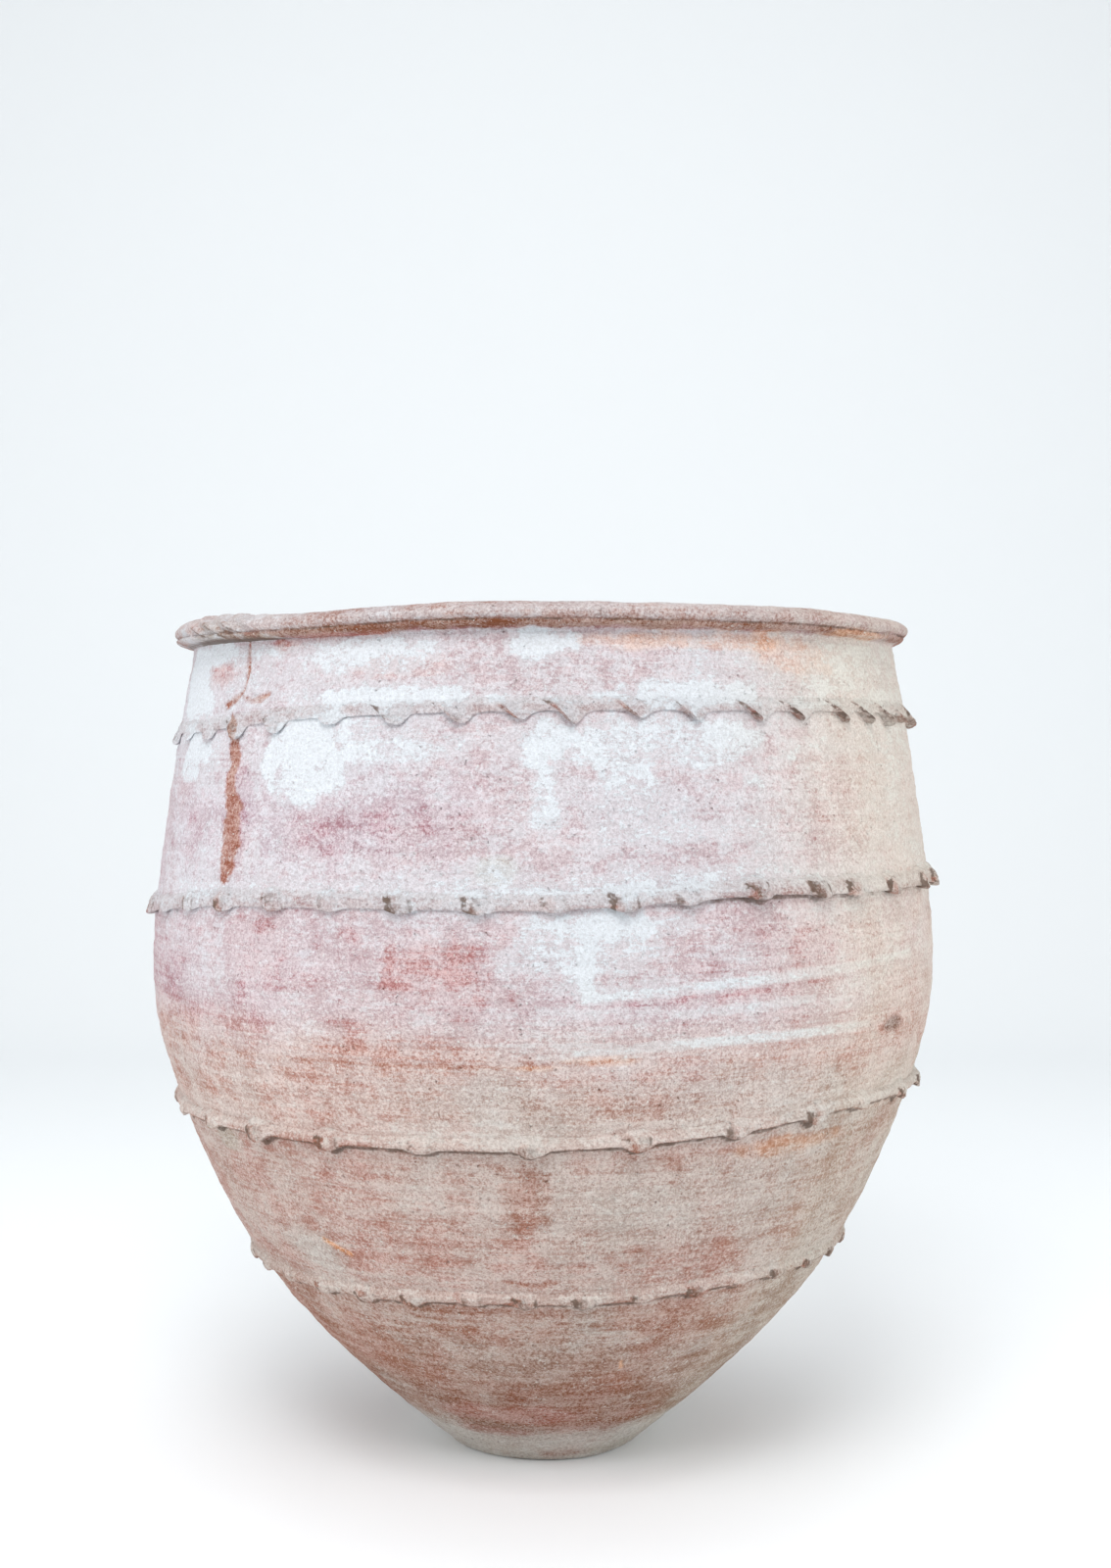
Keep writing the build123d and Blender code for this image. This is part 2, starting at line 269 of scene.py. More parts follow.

# Colours inside the clay and lime, and of the dirt and painted shade, scene-linear
DARK_CLAY = (0.77, 0.67, 0.61, 1)
PALE_CLAY = (0.80, 0.76, 0.73, 1)
GRIT_COLOUR = (0.76, 0.73, 0.70, 1)
PIT_COLOUR = (0.14, 0.085, 0.06, 1)
COOL_LIME = (0.68, 0.715, 0.76, 1)
WARM_LIME = (0.70, 0.675, 0.62, 1)
DULL_GRAIN = (0.82, 0.80, 0.785, 1)
BRIGHT_GRAIN = (1.06, 1.06, 1.05, 1)
GRIME_AND_SHADE_COLOUR = (0.130, 0.085, 0.062, 1)

# Coats of lime from the veil to the crust: flakes to the metre, how far they break the coat, the cover at
# which it starts and is whole, and how much of the clay it hides
LIME_COATS = ((75.0, 0.6, 0.06, 0.42, 0.40), (140.0, 0.8, 0.46, 0.66, 0.46), (230.0, 0.8, 0.82, 0.97, 0.96))

# Cordon section by share of the way over it: how far down the band, and how far out of the wall as a
# ramp or as a round bead
DOWN_CURVE = ((0, 0), (0.16, 0.16), (0.42, 0.5), (0.62, 0.82), (0.74, 0.96), (0.80, 1.0), (0.87, 0.97),
              (1, 0.90))
RAMP_CURVE = ((0, 0.08), (0.16, 0.24), (0.42, 0.64), (0.62, 0.94), (0.72, 1.0), (0.79, 0.88), (0.85, 0.48),
              (1, 0.0))
BEAD_CURVE = ((0, 0.06), (0.12, 0.40), (0.28, 0.76), (0.46, 0.96), (0.60, 1.0), (0.72, 0.97), (0.80, 0.74),
              (0.87, 0.36), (1, 0.0))

# Share of the thickness that is sunk in the wall, share of the way over where the lower edge is, share
# of the band above the joint, and share of the way down the band about which a leaning thumb turns
BURIED = 0.17
LOWER_EDGE = 0.80
ABOVE_JOINT = 0.62
THUMB_PIVOT = 0.7

# Shape of one press by share of the way from half a pitch left of it to half a pitch right: how far
# its lobe hangs as a round pad or where the thumb swept sideways, how deep the thumb went, how far the
# clay crumbled, and the ridge that a sweeping thumb pushed up on its left
PAD_CURVE = ((0, 0.0), (0.22, 0.02), (0.30, 0.30), (0.37, 0.74), (0.44, 0.95), (0.50, 1.0), (0.56, 0.95),
             (0.63, 0.74), (0.70, 0.30), (0.78, 0.02), (1, 0.0))
HANG_CURVE = ((0, 0.0), (0.2, 0.05), (0.34, 0.34), (0.45, 0.86), (0.52, 1.0), (0.60, 0.78), (0.72, 0.25),
              (0.86, 0.03), (1, 0.0))
PRESS_CURVE = ((0, 0.0), (0.30, 0.0), (0.42, 0.18), (0.50, 0.75), (0.58, 1.0), (0.68, 0.78), (0.80, 0.3),
               (0.92, 0.05), (1, 0.0))
CRUMB_CURVE = ((0, 0.0), (0.20, 0.0), (0.27, 0.65), (0.33, 1.0), (0.41, 0.80), (0.52, 0.60), (0.66, 0.50),
               (0.76, 0.0), (1, 0.0))
RIDGE_CURVE = ((0, 0.0), (0.18, 0.05), (0.28, 0.40), (0.36, 0.85), (0.42, 1.0), (0.46, 0.78), (0.50, 0.10),
               (0.54, 0.0), (1, 0.0))

# Edges that turn more sharply than this stay sharp
SHARP_EDGE = math.radians(48)

# Backdrop in metres: half its width, how far it runs forward and up, and where its bend starts and
# the radius of the bend; colour of its paper
BACKDROP_SIDE = 6.0
BACKDROP_FRONT = -5.0
BACKDROP_TOP = 5.0
BEND_START = 2.6
BEND_RADIUS = 0.9
PAPER = (0.90, 0.925, 0.94, 1)

# Width of the camera's sensor in mm
SENSOR_WIDTH = 36.0

# Socket kinds, and the inputs of the trees
FLOAT, INT, VECTOR, COLOR = "NodeSocketFloat", "NodeSocketInt", "NodeSocketVector", "NodeSocketColor"
GEOMETRY, MATERIAL, OBJECT = "NodeSocketGeometry", "NodeSocketMaterial", "NodeSocketObject"
UNEVEN_SIZES = ("Wobble", "Wobble Size", "Ridge", "Ridge Spacing", "Lump", "Lump Size")
UNEVEN_INPUTS = dict.fromkeys(UNEVEN_SIZES, FLOAT)
WALL_INPUTS = {"Geometry": GEOMETRY, "Columns": INT, **UNEVEN_INPUTS, "Material": MATERIAL}
CORDON_SIZES = ("Band", "Proud", "Hang", "Swell", "Press", "Pushed", "Arch", "Bead", "Slant", "Crumb")
CORDON_INPUTS = {**WALL_INPUTS, "Presses": OBJECT, "Rows": INT, "Pitch": FLOAT, "Rough": FLOAT,
                 **dict.fromkeys(CORDON_SIZES, FLOAT)}

# Random numbers behind the clouds, how far a seed moves a cloud, and primes that spread the picks
LATTICE = np.random.default_rng(7).random(4096)
SEED_STEP = 17.3
PRIMES = (73856093, 19349663, 83492791)


def from_front(points):
    """Angle of points from the front of the jar, in degrees, and their height in mm."""
    angle = np.degrees(np.arctan2(points[:, 1], points[:, 0])) + 90
    return signed(angle), points[:, 2] / MM


def signed(angle):
    """An angle brought between -180 and 180 degrees."""
    return (angle + 180) % 360 - 180


def smooth_step(start, end, value):
    """0 before start, 1 after end, and a smooth rise between them; start may be the greater."""
    share = np.clip((value - start) / (end - start), 0, 1)
    return share * share * (3 - 2 * share)


def smooth_line(where, knots, values):
    """Value on a smooth line through knots, and its slope."""
    slopes = np.gradient(values, knots)
    cell = np.clip(np.searchsorted(knots, where) - 1, 0, len(knots) - 2)
    width = knots[cell + 1] - knots[cell]
    u = (where - knots[cell]) / width
    low, high = values[cell], values[cell + 1]
    low_slope, high_slope = slopes[cell] * width, slopes[cell + 1] * width
    value = (low * (1 + 2 * u) + low_slope * u) * (1 - u) ** 2
    value += (high * (3 - 2 * u) - high_slope * (1 - u)) * u ** 2
    slope = 6 * u * (1 - u) * (high - low) + low_slope * (1 - 4 * u + 3 * u ** 2)
    slope += high_slope * (3 * u ** 2 - 2 * u)
    return value, slope / width


def round_line(angle, knots):
    """Value at angles round the jar on a smooth closed line through {angle: value}."""
    degrees = np.array(sorted(knots), float)
    values = np.array([knots[key] for key in sorted(knots)], float)
    degrees = np.concatenate([degrees - 360, degrees, degrees + 360])
    return smooth_line(np.asarray(angle, float), degrees, np.tile(values, 3))[0]


def cloud(points, size, seed=0):
    """Smooth random field from 0 to 1 over points, with features of about the given size."""
    place = (points / size + SEED_STEP * seed).T
    corner = np.floor(place).astype(np.int64)
    share = place - corner
    share = share * share * (3 - 2 * share)
    keys = [(c * prime, (c + 1) * prime) for c, prime in zip(corner, PRIMES)]
    weights = [(1 - s, s) for s in share]
    total = np.zeros(len(points))
    for i, j, k in np.ndindex(2, 2, 2):
        value = LATTICE[(keys[0][i] ^ keys[1][j] ^ keys[2][k]) % len(LATTICE)]
        total += weights[0][i] * weights[1][j] * weights[2][k] * value
    return total


def ragged(points, size, seed=0):
    """Random field from -1 to 1 with detail down to an eighth of its size."""
    parts = [(cloud(points, size / 2 ** k, seed + k) - 0.5) / 1.6 ** k for k in range(4)]
    return 2 * sum(parts) / sum(1 / 1.6 ** k for k in range(4))


def linear(tone):
    """A named tone as scene-linear red, green and blue."""
    share = np.array(TONES[tone]) / 255
    return DAYLIGHT * np.where(share < 0.04045, share / 12.92, ((share + 0.055) / 1.055) ** 2.4)


def shift(colours, share, target):
    """Brings an array of colours nearer to a target, by a share for each."""
    colours += share[:, None] * (target - colours)


def by_height(height, table):
    """Value or colour by height from a table of (height, value) or (height, tone)."""
    heights, values = zip(*table)
    if isinstance(values[0], str):
        tones = np.array([linear(tone) for tone in values])
        return np.column_stack([np.interp(height, heights, tones[:, k]) for k in range(3)])
    return np.interp(height, heights, values)


class Value:
    """Output of a node, with arithmetic that adds nodes to its tree."""

    def __init__(self, sketch, socket):
        self.sketch = sketch
        self.socket = socket

    def reckon(self, operation, *others):
        """Output of a math node, or of a vector math node where this is a vector."""
        kind = "ShaderNodeVectorMath" if self.socket.type == "VECTOR" else "ShaderNodeMath"
        return self.sketch.out(kind, (self, *others), operation=operation)

    def scaled(self, factor):
        """This vector times a number."""
        values = {"Vector": self, "Scale": factor}
        return self.sketch.out("ShaderNodeVectorMath", values, operation="SCALE")

    def __add__(self, other):
        return self.reckon("ADD", other)

    def __sub__(self, other):
        return self.reckon("SUBTRACT", other)

    def __mul__(self, other):
        return self.reckon("MULTIPLY", other)

    def __truediv__(self, other):
        return self.reckon("DIVIDE", other)

    def __rsub__(self, other):
        return self.sketch.out("ShaderNodeMath", (other, self), operation="SUBTRACT")

    def __rtruediv__(self, other):
        return self.sketch.out("ShaderNodeMath", (other, self), operation="DIVIDE")

    __radd__ = __add__
    __rmul__ = __mul__


class Sketch:
    """A node tree being drawn: adds nodes, sets or links their inputs, and hands back their outputs."""

    def __init__(self, tree):
        self.tree = tree

    @classmethod
    def group(cls, name, kind, inputs, outputs):
        """A new node group with sockets given as {name: kind of socket}."""
        tree = bpy.data.node_groups.new(name, kind)
        for way, sockets in (("INPUT", inputs), ("OUTPUT", outputs)):
            for label, socket_type in sockets.items():
                tree.interface.new_socket(label, in_out=way, socket_type=socket_type)
        return cls(tree)

    def inputs(self):
        """The group's own inputs by name."""
        node = self.tree.nodes.new("NodeGroupInput")
        return {socket.name: Value(self, socket) for socket in node.outputs if socket.name}

    def outputs(self, **values):
        """Links the group's outputs."""
        node = self.tree.nodes.new("NodeGroupOutput")
        for name, value in values.items():
            self.tree.links.new(value.socket, node.inputs[name])

    def node(self, kind, values=(), **settings):
        """A new node with inputs set or linked by number or by name."""
        node = self.tree.nodes.new(kind)
        for name, value in settings.items():
            setattr(node, name, value)
        sockets = [socket for socket in node.inputs if socket.enabled]
        for key, value in values.items() if isinstance(values, dict) else enumerate(values):
            socket = sockets[key] if isinstance(key, int) else next(s for s in sockets if s.name == key)
            if isinstance(value, Value):
                self.tree.links.new(value.socket, socket)
            else:
                socket.default_value = value
        return node

    def out(self, kind, values=(), name=None, **settings):
        """First output of a new node, or the one with that name."""
        sockets = [socket for socket in self.node(kind, values, **settings).outputs if socket.enabled]
        return Value(self, next(socket for socket in sockets if name in (None, socket.name)))

    def outs(self, kind, values=(), **settings):
        """All outputs of a new node by name."""
        node = self.node(kind, values, **settings)
        return {socket.name: Value(self, socket) for socket in node.outputs}

    def placed(self, label, values):
        """Outputs by name of a node group placed in the tree."""
        kind = "ShaderNodeGroup" if self.tree.type == "SHADER" else "GeometryNodeGroup"
        return self.outs(kind, values, node_tree=bpy.data.node_groups[label])

    def xyz(self, x, y, z):
        """Vector with those parts."""
        return self.out("ShaderNodeCombineXYZ", (x, y, z))

    def parts(self, vector):
        """The x, y and z of a vector."""
        return list(self.outs("ShaderNodeSeparateXYZ", (vector,)).values())

    def noise(self, vector, scale, detail=2.0, roughness=0.5):
        """Noise from 0 to 1."""
        values = {"Vector": vector, "Scale": scale, "Detail": detail, "Roughness": roughness}
        return self.out("ShaderNodeTexNoise", values, name="Fac")

    def bold(self, vector, scale, detail=2.0, roughness=0.5):
        """Noise that swings about zero by up to one."""
        return (self.noise(vector, scale, detail, roughness) - 0.5) * 2.0

    def step(self, value, start, end):
        """0 before start, 1 after end, and a smooth rise between them; start may be the greater."""
        values = {"Value": value, "From Min": start, "From Max": end}
        return self.out("ShaderNodeMapRange", values, interpolation_type="SMOOTHSTEP")

    def curve(self, value, points):
        """Value read off a smooth curve through points in the unit square."""
        node = self.node("ShaderNodeFloatCurve", {"Value": value})
        line = node.mapping.curves[0]
        for place, height in points[1:-1]:
            line.points.new(place, height)
        for point, (place, height) in zip(line.points, points):
            point.location = (place, height)
        node.mapping.update()
        return Value(self, node.outputs[0])

    def mix(self, share, first, second, blend="MIX"):
        """Two colours mixed by a share."""
        values = {"Factor": share, "A": first, "B": second}
        return self.out("ShaderNodeMix", values, data_type="RGBA", blend_type=blend)

    def read(self, geometry, index, label=None, kind="FLOAT_VECTOR"):
        """Place of a point of a geometry, or a named layer on it, by the point's number."""
        value = self.out("GeometryNodeInputPosition")
        if label:
            value = self.out("GeometryNodeInputNamedAttribute", {"Name": label}, data_type=kind)
        values = {"Geometry": geometry, "Value": value, "Index": index}
        return self.out("GeometryNodeSampleIndex", values, data_type=kind)

    def stored(self, geometry, **layers):
        """A geometry with values or vectors put on its points."""
        for label, value in layers.items():
            kind = "FLOAT_VECTOR" if value.socket.type == "VECTOR" else "FLOAT"
            values = {"Geometry": geometry, "Name": label, "Value": value}
            geometry = self.out("GeometryNodeStoreNamedAttribute", values, data_type=kind, domain="POINT")
        return geometry

    def grid(self, columns, rows):
        """A grid of columns by rows of faces, and the column and row number of each of its points."""
        across = rows + 1.0
        grid = self.out("GeometryNodeMeshGrid", {"Vertices X": columns + 1.0, "Vertices Y": across})
        index = self.out("GeometryNodeInputIndex")
        column = ((index + 0.5) / across).reckon("FLOOR")
        return grid, column, index - column * across

    def finish(self, geometry, material):
        """Ends a tree: joins the seam, shades smooth, gives the material and puts the mesh out."""
        geometry = self.out("GeometryNodeMergeByDistance", {"Geometry": geometry, "Distance": 1e-6})
        geometry = self.out("GeometryNodeSetShadeSmooth", {"Geometry": geometry})
        corner = self.out("GeometryNodeInputMeshEdgeAngle").reckon("GREATER_THAN", SHARP_EDGE)
        values = {"Geometry": geometry, "Selection": corner, "Shade Smooth": False}
        geometry = self.out("GeometryNodeSetShadeSmooth", values, domain="EDGE")
        geometry = self.out("GeometryNodeRealizeInstances", {"Geometry": geometry})
        geometry = self.out("GeometryNodeSetMaterial", {"Geometry": geometry, "Material": material})
        self.outputs(Geometry=geometry)


class JarWall(bpy.types.PropertyGroup):
    """How the hand-raised wall is drawn."""
    columns: IntProperty(name="Columns", description="Faces round the wall", default=840, min=64)
    row: FloatProperty(name="Row", description="Height of a face on the outside", default=0.0022,
                       unit="LENGTH")
    inner_row: FloatProperty(name="Inner row", description="Height of a face on the inside", default=0.008,
                             unit="LENGTH")
    wobble: FloatProperty(name="Wobble", description="How far the wall strays from round", default=0.0022,
                          unit="LENGTH")
    wobble_size: FloatProperty(name="Wobble size", description="Width of a bulge or hollow", default=0.30,
                               unit="LENGTH")
    ridge: FloatProperty(name="Ridge", description="Height of the turning ridges", default=0.0016,
                         unit="LENGTH")
    ridge_spacing: FloatProperty(name="Ridge spacing", description="Height from ridge to ridge",
                                 default=0.021, unit="LENGTH")
    lump: FloatProperty(name="Lump", description="Height of finger lumps", default=0.0009, unit="LENGTH")
    lump_size: FloatProperty(name="Lump size", description="Width of a finger lump", default=0.035,
                             unit="LENGTH")


class JarCordon(bpy.types.PropertyGroup):
    """One thumb-pressed cordon."""
    piece: StringProperty(name="Piece", description="Cordon this describes")
    band: FloatProperty(name="Band", description="Upper edge to the foot of an arch", default=0.016,
                        unit="LENGTH")
    proud: FloatProperty(name="Proud", description="How far it stands out of the wall", default=0.009,
                         unit="LENGTH")
    hang: FloatProperty(name="Hang", description="How far a lobe hangs below an arch", default=0.01,
                        unit="LENGTH")
    swell: FloatProperty(name="Swell", description="How far a press spreads above the upper edge",
                         default=0.0, unit="LENGTH")
    press: FloatProperty(name="Press", description="Share of the thickness that a thumb presses away",
                         default=0.6, min=0, max=1, subtype="FACTOR")
    pushed: FloatProperty(name="Pushed", description="Share of the thickness pushed up beside a press",
                          default=0.4, min=0, max=1, subtype="FACTOR")
    arch: FloatProperty(name="Arch", description="Share of the thickness left between presses",
                        default=1.0, min=0, max=1, subtype="FACTOR")
    # How much dirt and painted shade lie under the cordon and on its lower lip
    grime_and_shade: FloatProperty(name="Grime And Shade", description="Dirt caught under it", default=0.8, min=0, max=1,
                        subtype="FACTOR")
    crumb: FloatProperty(name="Crumb", description="How far the clay of a press is crumbled", default=0.002,
                         unit="LENGTH")
    pale: FloatProperty(name="Pale", description="Lime added to it or, below nought, worn off", default=0.0,
                        min=-1, max=1)
    bead: FloatProperty(name="Bead", description="How far the section is a bead and not a ramp",
                        default=0.5, min=0, max=1, subtype="FACTOR")
    slant: FloatProperty(name="Slant", description="Lean of the thumb to the upright",
                         default=math.radians(15), subtype="ANGLE")
    presses: IntProperty(name="Presses", description="Thumb presses round the jar", default=38, min=8)


class JarSection(bpy.types.PropertyGroup):
    """What the four cordons share."""
    columns: IntProperty(name="Columns", description="Faces round a cordon", default=2400, min=64)
    rows: IntProperty(name="Rows", description="Faces across a cordon", default=30, min=8)
    rough: FloatProperty(name="Rough", description="Unevenness of the clay", default=0.0011, unit="LENGTH")


class JarStage(bpy.types.PropertyGroup):
    """Camera, light and backdrop."""
    distance: FloatProperty(name="Distance", description="Camera to the jar's axis", default=2.096,
                            unit="LENGTH")
    eye: FloatProperty(name="Eye", description="Height of the camera", default=0.696, unit="LENGTH")
    lens: FloatProperty(name="Lens", description="Focal length in mm", default=46.125)
    shift: FloatVectorProperty(name="Shift", description="Shift of the frame", default=(0.0078, -0.0156),
                               size=2)
    sky: FloatProperty(name="Sky", description="Strength of the surrounding light", default=0.63)
    key: FloatProperty(name="Key", description="Power of the soft light above the camera", default=63.0,
                       unit="POWER")
    fill: FloatProperty(name="Fill", description="Power of the soft light from each side", default=20.0,
                        unit="POWER")
    wash: FloatProperty(name="Wash", description="Power of the light on the backdrop", default=60.0,
                        unit="POWER")
    tint: FloatVectorProperty(name="Tint", description="Colour of the surrounding light",
                              default=(0.945, 0.965, 0.98), subtype="COLOR", size=3)


def new_object(name, points, edges=(), faces=(), **layers):
    """Object with a mesh of those points, edges and faces, and a value or vector layer on its points."""
    mesh = bpy.data.meshes.new(name)
    mesh.from_pydata([tuple(point) for point in points], list(edges), list(faces))
    for label, values in layers.items():
        values = np.asarray(values, np.float32)
        kind, slot = ("FLOAT", "value") if values.ndim == 1 else ("FLOAT_VECTOR", "vector")
        mesh.attributes.new(label, kind, "POINT").data.foreach_set(slot, values.ravel())
    return linked(name, mesh)


def linked(name, data):
    """Object with that data, in the scene."""
    obj = bpy.data.objects.new(name, data)
    bpy.context.scene.collection.objects.link(obj)
    return obj


def grown(source, label, name, inputs):
    """Plain mesh object made from source by a Geometry Nodes tree with the named inputs. Source goes."""
    tree = bpy.data.node_groups[label]
    modifier = source.modifiers.new(label, "NODES")
    modifier.node_group = tree
    for item in tree.interface.items_tree:
        if item.item_type == "SOCKET" and item.in_out == "INPUT" and item.name in inputs:
            modifier[item.identifier] = inputs[item.name]
    bpy.context.view_layer.update()
    graph = bpy.context.evaluated_depsgraph_get()
    mesh = bpy.data.meshes.new_from_object(source.evaluated_get(graph), preserve_all_data_layers=True,
                                           depsgraph=graph)
    if not mesh.polygons:
        raise RuntimeError(name + " came out empty")
    bpy.data.objects.remove(source)
    mesh.name = name
    return linked(name, mesh)


def points_of(mesh):
    """Points of a mesh and their normals, as arrays."""
    points = np.empty(len(mesh.vertices) * 3, np.float32)
    mesh.vertices.foreach_get("co", points)
    normals = np.empty_like(points)
    mesh.vertex_normals.foreach_get("vector", normals)
    return points.reshape(-1, 3).astype(float), normals.reshape(-1, 3).astype(float)


def move(mesh, points):
    """Puts the points of a mesh elsewhere."""
    mesh.vertices.foreach_set("co", points.astype(np.float32).ravel())
    mesh.update()


def layer_of(mesh, label):
    """Value or vector on each point of a mesh."""
    layer = mesh.attributes[label]
    slot, width = ("vector", 3) if layer.data_type == "FLOAT_VECTOR" else ("value", 1)
    values = np.empty(len(mesh.vertices) * width, np.float32)
    layer.data.foreach_get(slot, values)
    return values.reshape(-1, width).squeeze().astype(float)


def set_layer(mesh, label, values):
    """Puts a value or a colour on each point of a mesh."""
    kind, slot = ("FLOAT", "value") if values.ndim == 1 else ("FLOAT_COLOR", "color")
    if values.ndim == 2:
        values = np.column_stack((values, np.ones(len(values))))
    layer = mesh.attributes.new(label, kind, "POINT")
    layer.data.foreach_set(slot, np.ascontiguousarray(values, np.float32).ravel())


class WallLine:
    """Outside and inside lines of the whole wall, read from the CAD pieces where they meet +X."""

    def __init__(self):
        pieces = ("floor_disc",) + COURSES
        self.bottom = {name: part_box(name)[0][2] for name in pieces}
        tops = [self.bottom[name] for name in pieces[1:]] + [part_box("neck_course")[1][2]]
        self.top = dict(zip(pieces, tops))
        self.inner_top = {name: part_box(name)[1][2] for name in pieces}
        outside, inside = {}, {}
        for name in pieces:
            for radius, height in self.seam(name):
                on_outside = self.is_outside(name, radius, height)
                (outside if on_outside else inside)[round(height, 5)] = radius
        self.outer = [np.array(values) for values in zip(*sorted(outside.items()))]
        inside = {height: radius for height, radius in inside.items() if height > self.top["floor_disc"]}
        self.inner = [np.array(values) for values in zip(*sorted(inside.items()))]

    @staticmethod
    @lru_cache
    def seam(name):
        """Points of a CAD piece at +X, as (radius, height)."""
        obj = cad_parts[name]
        points = np.array([obj.matrix_world @ vertex.co for vertex in obj.data.vertices])
        at_seam = (np.abs(points[:, 1]) < ON_SEAM) & (points[:, 0] > 0)
        return np.unique(points[at_seam][:, (0, 2)].round(6), axis=0)

    def is_outside(self, name, radius, height):
        """A point is on the outside if it is not behind the chord of the piece's outer line."""
        seam = self.seam(name)
        low, high = self.bottom[name], self.top[name]
        foot = max(r for r, h in seam if abs(h - low) < AT_JOINT)
        head = max(r for r, h in seam if abs(h - high) < NEAR_TOP)
        chord = foot + (head - foot) * (height - low) / (high - low)
        return low - AT_JOINT <= height <= high + AT_JOINT and radius > chord - BEHIND_CHORD

    def outside(self, height):
        """Radius of the outside at a height, and its slope."""
        return smooth_line(np.asarray(height, float), *self.outer)

    def section(self, name, row, inner_row):
        """Closed section of a course: points, outward directions and how far each is worked clay."""
        low, high = self.bottom[name], self.top[name]
        previous = (("floor_disc",) + COURSES)[COURSES.index(name)]
        inner_low, inner_high = max(self.inner_top[previous], self.inner[0][0]), self.inner_top[name]
        rows = max(8, round((high - low) / row))
        heights = np.linspace(low, high, rows + 1)
        radii, slopes = self.outside(heights)
        inner_rows = max(4, round((inner_high - inner_low) / inner_row))
        inner_heights = np.linspace(inner_high, inner_low, inner_rows + 1)
        inner_radii, inner_slopes = smooth_line(inner_heights, *self.inner)
        level = np.zeros(rows + inner_rows + 2)
        points = np.column_stack((np.r_[radii, inner_radii], level, np.r_[heights, inner_heights]))
        sides = np.r_[np.ones(rows + 1), -np.ones(inner_rows + 1)]
        ways = np.column_stack((sides, level, np.r_[-slopes, inner_slopes]))
        ways /= np.linalg.norm(ways, axis=1)[:, None]
        worked = np.where(sides > 0, 1.0, INSIDE_WORKED)
        closed = np.r_[np.arange(len(points)), 0]
        return points[closed], ways[closed], worked[closed]


@lru_cache
def wall_line():
    """The wall's lines, read once."""
    return WallLine()


def uneven_wall_group():
    """Node group: how far the hand-raised wall strays outwards at a place on it."""
    sockets = {"Place": VECTOR, **UNEVEN_INPUTS}
    sketch = Sketch.group("uneven wall", "GeometryNodeTree", sockets, {"Offset": FLOAT})
    given = sketch.inputs()
    place = given["Place"]
    turned = place * (0.06, 0.06, 1.0)
    wobble = sketch.bold(place, 1.0 / given["Wobble Size"], 1.0) * given["Wobble"]
    ridge = sketch.bold(turned, 1.0 / given["Ridge Spacing"], 2.0) * given["Ridge"]
    combed = sketch.bold(turned, 4.5 / given["Ridge Spacing"], 1.0) * (given["Ridge"] * 0.4)
    lump = sketch.bold(place, 1.0 / given["Lump Size"], 3.0) * given["Lump"]
    sketch.outputs(Offset=wobble + ridge + combed + lump)


def strayed(sketch, given, place):
    """Offset of the uneven wall at a place, with the tree's own wall inputs."""
    values = {"Place": place, **{label: given[label] for label in UNEVEN_SIZES}}
    return sketch.placed("uneven wall", values)["Offset"]


def turned_tree():
    """Tree that turns a section round the axis and works the clay unevenly."""
    sketch = Sketch.group("turned clay", "GeometryNodeTree", WALL_INPUTS, {"Geometry": GEOMETRY})
    given = sketch.inputs()
    section, columns = given["Geometry"], given["Columns"]
    count = sketch.out("GeometryNodeAttributeDomainSize", {"Geometry": section}, name="Point Count")
    grid, column, row = sketch.grid(columns, count - 1.0)
    angle = column / columns * (2 * math.pi)
    cosine, sine = angle.reckon("COSINE"), angle.reckon("SINE")
    radius, _, height = sketch.parts(sketch.read(section, row))
    way_out, _, way_up = sketch.parts(sketch.read(section, row, "way"))
    worked = sketch.read(section, row, "worked", "FLOAT")
    place = sketch.xyz(radius * cosine, radius * sine, height)
    out = sketch.xyz(way_out * cosine, way_out * sine, way_up)
    moved = place + out.scaled(strayed(sketch, given, place) * worked)
    geometry = sketch.stored(grid, outside=way_out, outward=out)
    geometry = sketch.out("GeometryNodeSetPosition", {"Geometry": geometry, "Position": moved})
    sketch.finish(geometry, given["Material"])


